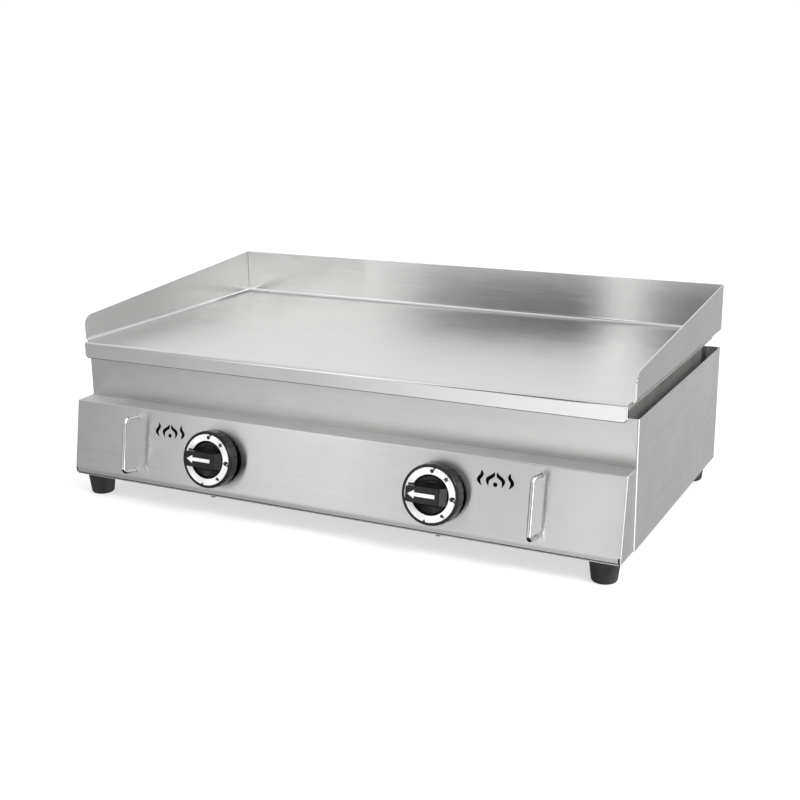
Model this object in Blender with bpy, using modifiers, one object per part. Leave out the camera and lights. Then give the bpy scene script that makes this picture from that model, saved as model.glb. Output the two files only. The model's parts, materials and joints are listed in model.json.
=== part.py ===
"""Countertop flat top gas griddle, modelled as an assembly of separate pieces.

Metres, +Z up, +X to the right of someone facing the knobs, +Y towards the back.
The origin is on the surface it stands on, under the middle of the whole object.
Sizes that belong to the body are written from the body's own corner point: X from its
middle, Y back from its front face and Z up from its bottom edge.  place() turns them
into world positions.  The control panel leans back, so knobs, valves and handles are
written on the panel: along X, up its slope from its top edge, and out from its face.
"""

import math

import bmesh
import bpy
from mathutils import Matrix, Vector

MM = 0.001
GAP = 0.3 * MM            # clearance between pieces that touch
MERGE = 0.01 * MM         # merge distance for welds and seams

# Driving dimensions
BODY_WIDTH = 730 * MM
BODY_DEPTH = 367 * MM
BODY_HEIGHT = 149 * MM    # top edge of the sides above the bottom edge
BODY_FRONT_Y = -160.87 * MM    # world Y of the body's front face
FOOT_HEIGHT = 28 * MM
SHEET = 1.2 * MM          # body sheet thickness
FOLD = 2.5 * MM           # outside radius of the body's folds

TRAY_SHEET = 1.5 * MM
TRAY_HALF_WIDTH = 363.2 * MM
TRAY_FRONT = -7.1 * MM    # front edge of the guards
TRAY_BACK = 374.2 * MM
TRAY_TOP = 168.7 * MM     # cooking surface
TRAY_BEND = 6 * MM        # outside radius where the guards turn up
GUARD_FRONT_TOP = 200.1 * MM
GUARD_BACK_TOP = 229.5 * MM
GUARD_CORNER = 13 * MM
LIP_HALF_WIDTH = 357 * MM
LIP_FRONT = -18 * MM
LIP_BOTTOM = 148.2 * MM
LIP_BEND = 4.5 * MM
LIP_CORNER = 5 * MM

PLATE_THICK = 8 * MM
PLATE_HALF_WIDTH = 354 * MM
PLATE_FRONT = -10 * MM
PLATE_BACK = 366 * MM

PANEL_HALF_WIDTH = 364 * MM
PANEL_TOP = 95.1 * MM
PANEL_TOP_DEPTH = 30 * MM
PANEL_FOLD_Z = 8.8 * MM
PANEL_FOLD_DEPTH = 44.8 * MM
PANEL_STRIP_DEPTH = 44.3 * MM
PANEL_UPSTAND = 3.4 * MM
PANEL_FLANGE = 14 * MM
PANEL_FOLD = 1.6 * MM     # inside radius of the panel's folds
RELIEF_WIDTH = 2 * MM     # slot that parts the bottom strip from the end returns
PANEL_BASE_Z = SHEET + GAP

KNOB_X = 148.5 * MM
KNOB_DROP = 48 * MM       # knob axis below the panel's top edge, along the slope
KNOB_PUSH = 4 * MM
HANDLE_X = 268.8 * MM
HANDLE_TOP = 11.8 * MM
HANDLE_BOTTOM = 79.3 * MM
HANDLE_REACH = 24 * MM
WIRE_RADIUS = 2.5 * MM
FLAME_X = 217.5 * MM
FLAME_DROP = 29.1 * MM

HEM = 15 * MM             # the shell turned in at the back
WINDOW_MARGIN = 12 * MM   # sheet left beside the front wall's window
WINDOW_TOP = 84 * MM
NOTCH_TOP = 34 * MM       # lower part of the window, as wide as the inside
SCREW_RADIUS = 1.7 * MM
SCREW_HEAD = 3.6 * MM
REAR_SCREWS = [(sx * (BODY_WIDTH / 2 - 8.5 * MM), z) for sx in (-1, 1) for z in (25 * MM, 125 * MM)]
PANEL_SCREWS = (-152 * MM, 152 * MM)
PANEL_SCREW_Y = -40.5 * MM

BASE_HALF_WIDTH = BODY_WIDTH / 2 - FOLD - 2 * GAP
BASE_FRONT = -43.4 * MM
BASE_FLANGE = 11 * MM

# Rows of air openings: how many, their pitch, their rows and half their size
REAR_VENTS = (9, 56 * MM, (98 * MM, 118 * MM), (20 * MM, 3 * MM))
BASE_VENTS = (5, 125 * MM, (115 * MM, 190 * MM, 265 * MM), (33 * MM, 14 * MM))
FIREBOX_VENTS = (6, 104 * MM, (30 * MM, 106 * MM), (32 * MM, 7 * MM))

FIREBOX_HALF_WIDTH = 345 * MM
FIREBOX_FRONT = 30 * MM
FIREBOX_BACK = 350 * MM
VIEW_Z = 79 * MM          # openings behind the flame marks
VIEW_HALF = (24 * MM, 13 * MM)

MANIFOLD_Y = -8 * MM
MANIFOLD_Z = 22 * MM
MANIFOLD_RADIUS = 8 * MM
MANIFOLD_BORE = 6 * MM
MANIFOLD_LEFT = -182 * MM
MANIFOLD_RIGHT = 248 * MM
FEED_RADIUS = 5 * MM
FEED_X = BODY_WIDTH / 2 - 11 * MM
FEED_BACK = 357.5 * MM
INLET_X = 262 * MM
INLET_Z = 30 * MM
INLET_THREAD = 8 * MM
INLET_BORE = 3.2 * MM
INLET_STEM = 4.6 * MM
INLET_RIDGE = 5.6 * MM
INLET_LENGTH = 26 * MM

BURNER_MOUTH_Z = 50 * MM
BURNER_Z = 84 * MM
BURNER_RADIUS = 11 * MM
BURNER_WALL = 1.5 * MM
BURNER_INNER_X = KNOB_X - 62 * MM
BURNER_OUTER_X = KNOB_X + 102 * MM
BURNER_BACK = 315 * MM
PORT_COUNT = 5
PORT_PITCH = 30 * MM
STRAP_X = KNOB_X + 20 * MM
STRAP_HALF_WIDTH = 15 * MM
STRAP_THICK = 1.5 * MM
LEAD_X = 180 * MM
LEAD_Z = 60 * MM
LEAD_HOLE = 4 * MM

# Along a knob's axis, out of the panel's face, so a negative value is inside
VALVE_RADIUS = 12 * MM
VALVE_FRONT = -8 * MM
VALVE_BACK = -36 * MM
PLUG_RADIUS = 6 * MM
PLUG_FRONT = -18.5 * MM
PLUG_BACK = -32.5 * MM
SPINDLE_RADIUS = 3 * MM
SPINDLE_FLAT = 2.2 * MM
SPINDLE_END = -24 * MM
SPINDLE_HOLE = 7 * MM     # radius of the hole in the panel
CAP_THICK = 2 * MM
COLLAR_FRONT = VALVE_FRONT - GAP
COLLAR_BACK = COLLAR_FRONT - 1.2 * MM
SPRING_WIRE = 0.4 * MM
SPRING_RADIUS = 4.3 * MM
SPRING_TURNS = 4
SPRING_POINTS = 8         # per turn

KNOB_RADIUS = 35 * MM
KNOB_STEPS = 28
KNOB_FACE = 18.6 * MM
KNOB_BACK = KNOB_PUSH + 0.5 * MM
KNOB_HUB_TOP = 13 * MM
KNOB_HUB_RADIUS = 7 * MM
KNOB_BOWL = 13.6 * MM     # height of the recessed middle
RING_OUTER = 31 * MM
RING_INNER = 23.2 * MM
RING_SEAT = 0.9 * MM      # depth of the groove that the white ring lies in
GRIP_TOP = 26.5 * MM
GRIP_LEFT = -27 * MM
GRIP_RIGHT = 14.5 * MM
GRIP_WIDTH = 18.4 * MM
GRIP_DRAFT = 0.86         # the bar's top is this much narrower than its foot
FLARE_FOOT = 15 * MM      # half the width of the bar's flared sides at the bowl's floor
FLARE_TOP = 9.5 * MM
FLARE_ENDS = (-17 * MM, 14 * MM)

FOOT_X = 340 * MM
FOOT_FRONT_Y = -22.8 * MM
FOOT_BACK_Y = 346 * MM
FOOT_TOP_RADIUS = 17.6 * MM
FOOT_BOTTOM_RADIUS = 14.2 * MM
FOOT_RECESS_RADIUS = 7 * MM
FOOT_RECESS = 12 * MM
FOOT_SCREW_RADIUS = 2.5 * MM
FOOT_SCREW_HEAD = 6 * MM
FOOT_PLACES = {
    "front_left": (-FOOT_X, FOOT_FRONT_Y),
    "front_right": (FOOT_X, FOOT_FRONT_Y),
    "rear_left": (-FOOT_X, FOOT_BACK_Y),
    "rear_right": (FOOT_X, FOOT_BACK_Y),
}

# Centre lines of the two strokes on the right of a flame mark, from its dot, X then up
OUTER_STROKE = [(17.2 * MM, 15.4 * MM), (16.3 * MM, 9.4 * MM), (19.8 * MM, 3.4 * MM),
                (15.6 * MM, -3.8 * MM)]
INNER_STROKE = [(1.2 * MM, 14.4 * MM), (3.2 * MM, 9.6 * MM), (9.2 * MM, 4.6 * MM),
                (7.6 * MM, -3.8 * MM)]
STROKE_WIDTHS = (0, 2 * MM, 2.2 * MM, 0)
FLAME_DOT = 2.6 * MM

SIDES = (("left", -1), ("right", 1))

# Colour (linear), roughness and metallic value of each material
MATERIALS = {
    "brushed_steel": ((0.62, 0.62, 0.61), 0.32, 1.0),
    "tray_steel": ((0.66, 0.66, 0.65), 0.28, 1.0),
    "polished_steel": ((0.80, 0.80, 0.80), 0.08, 1.0),
    "plain_steel": ((0.36, 0.36, 0.36), 0.45, 1.0),
    "zinc_steel": ((0.52, 0.53, 0.53), 0.35, 1.0),
    "brass": ((0.72, 0.52, 0.22), 0.30, 1.0),
    "black_plastic": ((0.014, 0.014, 0.014), 0.30, 0.0),
    "white_print": ((0.80, 0.80, 0.80), 0.40, 0.0),
    "black_rubber": ((0.018, 0.018, 0.018), 0.65, 0.0),
    "ceramic": ((0.78, 0.76, 0.70), 0.35, 0.0),
    "red_silicone": ((0.35, 0.03, 0.02), 0.50, 0.0),
}


# ---------------------------------------------------------------- helpers

for old in list(bpy.data.objects):
    bpy.data.objects.remove(old)

PARTS = bpy.data.collections.new("flat_top_griddle")
CUTTERS = bpy.data.collections.new("cutters")
bpy.context.scene.collection.children.link(PARTS)
bpy.context.scene.collection.children.link(CUTTERS)


def make_material(name):
    """Principled material from the table, made once."""
    material = bpy.data.materials.get(name)
    if material:
        return material
    colour, roughness, metallic = MATERIALS[name]
    material = bpy.data.materials.new(name)
    material.use_nodes = True
    shader = material.node_tree.nodes["Principled BSDF"]
    shader.inputs["Base Color"].default_value = (*colour, 1.0)
    shader.inputs["Roughness"].default_value = roughness
    shader.inputs["Metallic"].default_value = metallic
    return material


def place(x, y, z):
    """World position of a point given on the body."""
    return Vector((x, y + BODY_FRONT_Y, z + FOOT_HEIGHT))


def new_object(name, mesh, collection):
    obj = bpy.data.objects.new(name, mesh)
    collection.objects.link(obj)
    if collection is CUTTERS:
        obj.hide_render = True
        obj.display_type = "WIRE"
    return obj


def from_bmesh(bm, name):
    mesh = bpy.data.meshes.new(name)
    bmesh.ops.recalc_face_normals(bm, faces=bm.faces)
    bm.to_mesh(mesh)
    bm.free()
    return new_object(name, mesh, CUTTERS)


def baked(obj, name):
    """The evaluated mesh of obj as a new mesh object, in world space; obj is removed."""
    bpy.context.view_layer.update()
    graph = bpy.context.evaluated_depsgraph_get()
    mesh = bpy.data.meshes.new_from_object(obj.evaluated_get(graph))
    mesh.transform(obj.matrix_world)
    bpy.data.objects.remove(obj)
    bm = bmesh.new()
    bm.from_mesh(mesh)
    bmesh.ops.remove_doubles(bm, verts=bm.verts, dist=MERGE)
    bm.to_mesh(mesh)
    bm.free()
    mesh.name = name
    return new_object(name, mesh, CUTTERS)


def finish(obj, material, origin=None):
    """Moves a finished shape to the parts, with its material and its origin on origin."""
    CUTTERS.objects.unlink(obj)
    PARTS.objects.link(obj)
    obj.hide_render = False
    obj.display_type = "TEXTURED"
    obj.data.materials.clear()
    obj.data.materials.append(make_material(material))
    obj.data.shade_smooth()
    obj.data.set_sharp_from_angle(angle=math.radians(35))
    if origin is not None:
        obj.data.transform(Matrix.Translation(-origin))
        obj.location = origin
    return obj


def boolean(obj, tool, operation="DIFFERENCE"):
    """Cuts tool out of obj, or joins it on, and returns the new shape."""
    modifier = obj.modifiers.new(operation.lower(), "BOOLEAN")
    modifier.operation = operation
    modifier.object = tool
    shape = baked(obj, obj.name)
    bpy.data.objects.remove(tool)
    return shape


def thicken(obj, thickness, offset=-1.0):
    modifier = obj.modifiers.new("sheet", "SOLIDIFY")
    modifier.thickness = thickness
    modifier.offset = offset
    modifier.use_even_offset = True
    return baked(obj, obj.name)


def box(name, low, high):
    """Box between two corners given on the body."""
    low = place(*low)
    high = place(*high)
    bm = bmesh.new()
    bmesh.ops.create_cube(bm, size=1.0)
    size = high - low
    bmesh.ops.scale(bm, vec=size, verts=bm.verts)
    bmesh.ops.translate(bm, vec=(low + high) / 2, verts=bm.verts)
    return from_bmesh(bm, name)


def cylinder(name, start, end, radius, segments=24, end_radius=None):
    """Round or tapered bar between two world points."""
    axis = end - start
    bm = bmesh.new()
    bmesh.ops.create_cone(
        bm,
        cap_ends=True,
        segments=segments,
        radius1=radius,
        radius2=radius if end_radius is None else end_radius,
        depth=axis.length,
    )
    turn = axis.to_track_quat("Z", "Y").to_matrix().to_4x4()
    bmesh.ops.transform(bm, matrix=Matrix.Translation((start + end) / 2) @ turn, verts=bm.verts)
    return from_bmesh(bm, name)


def punch(obj, centre, half):
    """Cuts a block out of obj: its centre and half its size, given on the body."""
    low = [c - h for c, h in zip(centre, half)]
    high = [c + h for c, h in zip(centre, half)]
    return boolean(obj, box("block", low, high))


def drill(obj, start, end, radius, segments=16):
    """Cuts a round hole between two world points out of obj."""
    return boolean(obj, cylinder("hole", start, end, radius, segments))


def turned(name, profile, frame, steps=24):
    """Solid of revolution: profile is (radius, height) from the top down its outer side."""
    mesh = bpy.data.meshes.new(name)
    points = [(radius, 0.0, height) for radius, height in profile]
    mesh.from_pydata(points, [(i, i + 1) for i in range(len(points) - 1)], [])
    obj = new_object(name, mesh, CUTTERS)
    obj.matrix_world = frame
    screw = obj.modifiers.new("turn", "SCREW")
    screw.axis = "Z"
    screw.angle = math.tau
    screw.steps = steps
    screw.render_steps = steps
    screw.use_merge_vertices = True
    screw.merge_threshold = MERGE
    return baked(obj, name)


def fillet(before, corner, after, radius, steps):
    """Points of an arc that rounds the corner between two straight runs."""
    to_before = (before - corner).normalized()
    to_after = (after - corner).normalized()
    half = to_before.angle(to_after) / 2
    reach = radius / math.tan(half)
    centre = corner + (to_before + to_after).normalized() * (radius / math.sin(half))
    start = corner + to_before * reach - centre
    end = corner + to_after * reach - centre
    sweep = start.angle(end)
    points = []
    for i in range(steps + 1):
        part = i / steps
        blend = math.sin((1 - part) * sweep) * start + math.sin(part * sweep) * end
        points.append(centre + blend / math.sin(sweep))
    return points


def rounded_path(corners, radius, steps=4):
    """Polyline with every inner corner rounded."""
    points = [corners[0]]
    for before, corner, after in zip(corners, corners[1:], corners[2:]):
        points.extend(fillet(before, corner, after, radius, steps))
    points.append(corners[-1])
    return points


def tube(name, points, radius, resolution=2):
    """Round bar along a polyline of world points."""
    curve = bpy.data.curves.new(name, "CURVE")
    curve.dimensions = "3D"
    curve.bevel_depth = radius
    curve.bevel_resolution = resolution
    curve.use_fill_caps = True
    spline = curve.splines.new("POLY")
    spline.points.add(len(points) - 1)
    for target, point in zip(spline.points, points):
        target.co = (*point, 1.0)
    obj = new_object(name, curve, CUTTERS)
    return baked(obj, name)


def outline(name, loop, thickness, frame):
    """Flat outline (2D points) given a thickness either side of its plane."""
    curve = bpy.data.curves.new(name, "CURVE")
    curve.dimensions = "2D"
    curve.fill_mode = "BOTH"
    curve.extrude = thickness / 2
    spline = curve.splines.new("POLY")
    spline.points.add(len(loop) - 1)
    spline.use_cyclic_u = True
    for target, point in zip(spline.points, loop):
        target.co = (point[0], point[1], 0.0, 1.0)
    obj = new_object(name, curve, CUTTERS)
    obj.matrix_world = frame
    return baked(obj, name)


def side_view_frame(x):
    """Frame whose X and Y run along the body's Y and Z, at a given body X."""
    turn = Matrix(((0, 0, 1), (1, 0, 0), (0, 1, 0))).to_4x4()
    return Matrix.Translation(place(x, 0, 0)) @ turn


def folded(name, profile, sweep, radius, segments=3):
    """Open sheet: a polyline of world points swept along a vector, with rounded folds."""
    bm = bmesh.new()
    line = [bm.verts.new(point) for point in profile]
    edges = [bm.edges.new(pair) for pair in zip(line, line[1:])]
    swept = bmesh.ops.extrude_edge_only(bm, edges=edges)["geom"]
    moved = [item for item in swept if isinstance(item, bmesh.types.BMVert)]
    bmesh.ops.translate(bm, vec=sweep, verts=moved)
    round_folds(bm, radius, segments)
    mesh = bpy.data.meshes.new(name)
    bm.to_mesh(mesh)
    bm.free()
    return new_object(name, mesh, CUTTERS)


def round_folds(bm, radius, segments):
    folds = [e for e in bm.edges if len(e.link_faces) == 2 and e.calc_face_angle() > 0.05]
    bmesh.ops.bevel(
        bm,
        geom=folds,
        offset=radius,
        offset_type="OFFSET",
        segments=segments,
        profile=0.5,
        affect="EDGES",
        clamp_overlap=True,
    )


# The control panel's face: its slope, its outward normal and points on it

PANEL_LEAN = math.atan2(PANEL_FOLD_DEPTH - PANEL_TOP_DEPTH, PANEL_TOP - PANEL_FOLD_Z)
PANEL_NORMAL = Vector((0, -math.cos(PANEL_LEAN), math.sin(PANEL_LEAN)))
PANEL_UP = Vector((0, math.sin(PANEL_LEAN), math.cos(PANEL_LEAN)))


def on_panel(x, drop, out=0.0):
    """World point on the panel: drop below its top edge, out from its face."""
    corner = place(x, -PANEL_TOP_DEPTH, PANEL_TOP)
    return corner - PANEL_UP * drop + PANEL_NORMAL * out


def panel_frame(x, drop):
    """Frame on the panel: X right, Y up the slope, Z out of the face."""
    axes = Matrix((Vector((1, 0, 0)), PANEL_UP, PANEL_NORMAL)).transposed().to_4x4()
    return Matrix.Translation(on_panel(x, drop)) @ axes


# ---------------------------------------------------------------- tray and plate

def basin(name, inset, radius, low_y, top):
    """Block with its left, right and back bottom edges rounded, open towards the front."""
    half = TRAY_HALF_WIDTH - inset
    low = (-half, low_y, TRAY_TOP - TRAY_SHEET + inset)
    high = (half, TRAY_BACK - inset, top)
    obj = box(name, low, high)
    bm = bmesh.new()
    bm.from_mesh(obj.data)
    floor_z = place(0, 0, low[2]).z
    front_y = place(0, low_y, 0).y

    def is_bend(edge):
        flat = all(abs(v.co.z - floor_z) < MERGE for v in edge.verts)
        front = all(abs(v.co.y - front_y) < MERGE for v in edge.verts)
        return flat and not front

    bends = [edge for edge in bm.edges if is_bend(edge)]
    bmesh.ops.bevel(bm, geom=bends, offset=radius, segments=4, profile=0.5, affect="EDGES")
    bm.to_mesh(obj.data)
    bm.free()
    return obj


def griddle_tray():
    """Folded tray: cooking surface, rounded front lip and three splash guards."""
    block_top = GUARD_BACK_TOP + 10 * MM
    tray = basin("griddle_tray", 0, TRAY_BEND, TRAY_FRONT, block_top)
    hollow = basin("hollow", TRAY_SHEET, TRAY_BEND - TRAY_SHEET, TRAY_FRONT - 10 * MM,
                   block_top + 10 * MM)
    tray = boolean(tray, hollow)
    rise = (GUARD_BACK_TOP - GUARD_FRONT_TOP) / (TRAY_BACK - TRAY_FRONT)
    corner = Vector((TRAY_FRONT, GUARD_FRONT_TOP))
    below = Vector((TRAY_FRONT, TRAY_TOP))
    behind = Vector((TRAY_BACK, GUARD_BACK_TOP))
    arc = fillet(below, corner, behind, GUARD_CORNER, 5)
    front = TRAY_FRONT - 20 * MM
    back = TRAY_BACK + 20 * MM
    loop = [(front, arc[0].y), *[(p.x, p.y) for p in arc]]
    loop += [(back, GUARD_BACK_TOP + 20 * MM * rise), (back, block_top + 5 * MM),
             (front, block_top + 5 * MM)]
    tray = boolean(tray, outline("above", loop, BODY_WIDTH + 20 * MM, side_view_frame(0)))
    return finish(boolean(tray, lip(), "UNION"), "tray_steel")


def lip():
    """Front lip: the sheet turns down over the front, with rounded lower corners."""
    profile = [
        place(-LIP_HALF_WIDTH, TRAY_FRONT + 6 * MM, TRAY_TOP),
        place(-LIP_HALF_WIDTH, LIP_FRONT, TRAY_TOP),
        place(-LIP_HALF_WIDTH, LIP_FRONT, LIP_BOTTOM),
    ]
    obj = folded("lip", profile, Vector((2 * LIP_HALF_WIDTH, 0, 0)), LIP_BEND, 5)
    bm = bmesh.new()
    bm.from_mesh(obj.data)
    bottom_z = place(0, 0, LIP_BOTTOM).z
    corners = [v for v in bm.verts if abs(v.co.z - bottom_z) < MERGE]
    bmesh.ops.bevel(bm, geom=corners, offset=LIP_CORNER, segments=3, profile=0.5,
                    affect="VERTICES")
    for face in bm.faces:
        if face.normal.y > 0.01 or face.normal.z < -0.01:
            face.normal_flip()
    bm.to_mesh(obj.data)
    bm.free()
    return thicken(obj, TRAY_SHEET)


def heat_plate():
    """Thick steel plate that spreads the flames' heat under the tray."""
    top = TRAY_TOP - TRAY_SHEET - GAP
    low = (-PLATE_HALF_WIDTH, PLATE_FRONT, top - PLATE_THICK)
    plate = box("heat_plate", low, (PLATE_HALF_WIDTH, PLATE_BACK, top))
    return finish(plate, "plain_steel")


# ---------------------------------------------------------------- sheet body

def body_shell():
    """One sheet wrapped round left side, upper front and right side, hemmed at the back."""
    half = BODY_WIDTH / 2
    profile = [
        place(half - HEM, BODY_DEPTH, 0),
        place(half, BODY_DEPTH, 0),
        place(half, 0, 0),
        place(-half, 0, 0),
        place(-half, BODY_DEPTH, 0),
        place(HEM - half, BODY_DEPTH, 0),
    ]
    shell = folded("body_shell", profile, Vector((0, 0, BODY_HEIGHT)), FOLD)
    shell = thicken(shell, SHEET)
    shell = punch(shell, (0, 0, 0), (half - WINDOW_MARGIN, 5 * MM, WINDOW_TOP))
    shell = punch(shell, (0, 0, 0), (half - FOLD, 5 * MM, NOTCH_TOP))
    for x, z in REAR_SCREWS:
        shell = drill(shell, place(x, BODY_DEPTH - 4 * MM, z), place(x, BODY_DEPTH + 2 * MM, z),
                      SCREW_RADIUS + GAP, 12)
    return finish(shell, "brushed_steel")


def vent_places(vents):
    """Centres of a grid of openings, across and then along its rows."""
    count, pitch, rows, _ = vents
    return [((i - (count - 1) / 2) * pitch, row) for i in range(count) for row in rows]


def rear_panel():
    """Back cover with a row of vent slots and the hole for the gas inlet."""
    half = BODY_WIDTH / 2 - FOLD
    outer = BODY_DEPTH - SHEET - GAP
    inner = outer - SHEET
    panel = box("rear_panel", (-half, inner, SHEET + GAP), (half, outer, BODY_HEIGHT))
    wide, high = REAR_VENTS[-1]
    for x, z in vent_places(REAR_VENTS):
        panel = punch(panel, (x, outer, z), (wide, 3 * MM, high))
    holes = [(x, z, SCREW_RADIUS) for x, z in REAR_SCREWS] + [(INLET_X, INLET_Z, INLET_THREAD)]
    for x, z, radius in holes:
        panel = drill(panel, place(x, inner - MM, z), place(x, outer + MM, z), radius + GAP)
    return finish(panel, "brushed_steel")


def base_panel():
    """Floor sheet with turned-up sides, air openings and holes for screws."""
    back = BODY_DEPTH - 2 * SHEET - 3 * GAP
    length = Vector((0, back - BASE_FRONT, 0))
    profile = [
        place(-BASE_HALF_WIDTH, BASE_FRONT, BASE_FLANGE),
        place(-BASE_HALF_WIDTH, BASE_FRONT, 0),
        place(BASE_HALF_WIDTH, BASE_FRONT, 0),
        place(BASE_HALF_WIDTH, BASE_FRONT, BASE_FLANGE),
    ]
    base = thicken(folded("base_panel", profile, length, 1.5 * MM, 2), SHEET)
    clear_y = -PANEL_STRIP_DEPTH + PANEL_FLANGE + 3 * MM
    base = boolean(base, box("flange_end", (-BODY_WIDTH, BASE_FRONT - MM, SHEET + GAP / 2),
                             (BODY_WIDTH, clear_y, BASE_FLANGE + MM)))
    wide, deep = BASE_VENTS[-1]
    for x, y in vent_places(BASE_VENTS):
        base = punch(base, (x, y, 0), (wide, deep, 3 * MM))
    holes = [(x, y, FOOT_SCREW_RADIUS) for x, y in FOOT_PLACES.values()]
    holes += [(x, PANEL_SCREW_Y, SCREW_RADIUS) for x in PANEL_SCREWS]
    for x, y, radius in holes:
        base = drill(base, place(x, y, -MM), place(x, y, 3 * MM), radius + GAP, 12)
    return finish(base, "zinc_steel")


def firebox():
    """Ring of four walls round the flames, which carries the plate."""
    half = FIREBOX_HALF_WIDTH
    low_z = SHEET + GAP
    top_z = TRAY_TOP - TRAY_SHEET - PLATE_THICK - 2 * GAP
    ring = box("firebox", (-half, FIREBOX_FRONT, low_z), (half, FIREBOX_BACK, top_z))
    inner = half - SHEET
    ring = boolean(ring, box("inside", (-inner, FIREBOX_FRONT + SHEET, -MM),
                             (inner, FIREBOX_BACK - SHEET, top_z + MM)))
    before = FIREBOX_FRONT - 3 * MM
    behind = FIREBOX_FRONT + 4 * MM
    for _, side in SIDES:
        for x, z, radius in ((KNOB_X, BURNER_MOUTH_Z, BURNER_RADIUS + 3 * MM),
                             (LEAD_X, LEAD_Z, LEAD_HOLE)):
            ring = drill(ring, place(side * x, before, z), place(side * x, behind, z), radius)
        ring = punch(ring, (side * FLAME_X, FIREBOX_FRONT, VIEW_Z),
                     (VIEW_HALF[0], 3 * MM, VIEW_HALF[1]))
    wide, high = FIREBOX_VENTS[-1]
    for x, z in vent_places(FIREBOX_VENTS):
        ring = punch(ring, (x, FIREBOX_BACK, z), (wide, 3 * MM, high))
    return finish(ring, "plain_steel")


# ---------------------------------------------------------------- control panel

def flame_stroke(points, half_widths, steps=7):
    """Leaf-shaped slot outline: a smooth centre line with a width that fades at both tips."""
    centres = []
    widths = []
    last = len(points) - 1
    for i in range(steps + 1):
        position = i / steps * last
        k = min(int(position), last - 1)
        part = position - k
        p0, p1 = points[max(k - 1, 0)], points[k]
        p2, p3 = points[k + 1], points[min(k + 2, last)]
        centres.append(Vector([
            0.5 * (2 * b + (c - a) * part + (2 * a - 5 * b + 4 * c - d) * part ** 2
                   + (3 * b - a - 3 * c + d) * part ** 3)
            for a, b, c, d in zip(p0, p1, p2, p3)
        ]))
        ease = part * part * (3 - 2 * part)
        widths.append(half_widths[k] * (1 - ease) + half_widths[k + 1] * ease)
    right, left = [], []
    for i in range(1, steps):
        along = (centres[i + 1] - centres[i - 1]).normalized()
        across = Vector((along.y, -along.x)) * widths[i]
        right.append(centres[i] + across)
        left.append(centres[i] - across)
    return [centres[0], *right, centres[-1], *reversed(left)]


def control_panel():
    """Wedge-shaped control box front: top face, sloped face, bottom strip and end returns."""
    half = PANEL_HALF_WIDTH
    back = -SHEET - GAP
    section = [
        (back, PANEL_TOP),
        (-PANEL_TOP_DEPTH, PANEL_TOP),
        (-PANEL_FOLD_DEPTH, PANEL_FOLD_Z),
        (-PANEL_STRIP_DEPTH, PANEL_BASE_Z),
        (back, PANEL_BASE_Z),
    ]
    bm = bmesh.new()
    ring = [bm.verts.new(place(-half, y, z)) for y, z in section]
    end_face = bm.faces.new(ring)
    swept = bmesh.ops.extrude_face_region(bm, geom=[end_face], use_keep_orig=True)["geom"]
    moved = [item for item in swept if isinstance(item, bmesh.types.BMVert)]
    bmesh.ops.translate(bm, vec=(2 * half, 0, 0), verts=moved)
    bmesh.ops.recalc_face_normals(bm, faces=bm.faces)
    open_faces = [f for f in bm.faces if f.normal.y > 0.9 or f.normal.z < -0.9]
    bmesh.ops.delete(bm, geom=open_faces, context="FACES_KEEP_BOUNDARY")
    add_flange(bm, PANEL_STRIP_DEPTH, PANEL_BASE_Z, Vector((0, PANEL_FLANGE, 0)))
    add_flange(bm, -back, PANEL_TOP, Vector((0, 0, PANEL_UPSTAND)))
    round_folds(bm, PANEL_FOLD, 2)
    bmesh.ops.recalc_face_normals(bm, faces=bm.faces)
    face = max(bm.faces, key=lambda f: f.calc_area())
    if face.normal.y > 0:
        bmesh.ops.reverse_faces(bm, faces=bm.faces)
    mesh = bpy.data.meshes.new("control_panel")
    bm.to_mesh(mesh)
    bm.free()
    panel = thicken(new_object("control_panel", mesh, CUTTERS), SHEET)
    for _, side in SIDES:
        for hole in panel_cutters(side):
            panel = boolean(panel, hole)
    return finish(panel, "brushed_steel")


def add_flange(bm, depth, z, reach):
    """Turns a flange off the long edge that runs along X at the given depth and height."""
    target = place(0, -depth, z)

    def is_edge(edge):
        level = all(abs(v.co.y - target.y) < MERGE and abs(v.co.z - target.z) < MERGE
                    for v in edge.verts)
        return level and edge.is_boundary

    edges = [edge for edge in bm.edges if is_edge(edge)]
    swept = bmesh.ops.extrude_edge_only(bm, edges=edges)["geom"]
    moved = [item for item in swept if isinstance(item, bmesh.types.BMVert)]
    bmesh.ops.translate(bm, vec=reach, verts=moved)
    for vert in moved:
        vert.co.x *= 1 - 4 * MM / PANEL_HALF_WIDTH


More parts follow.
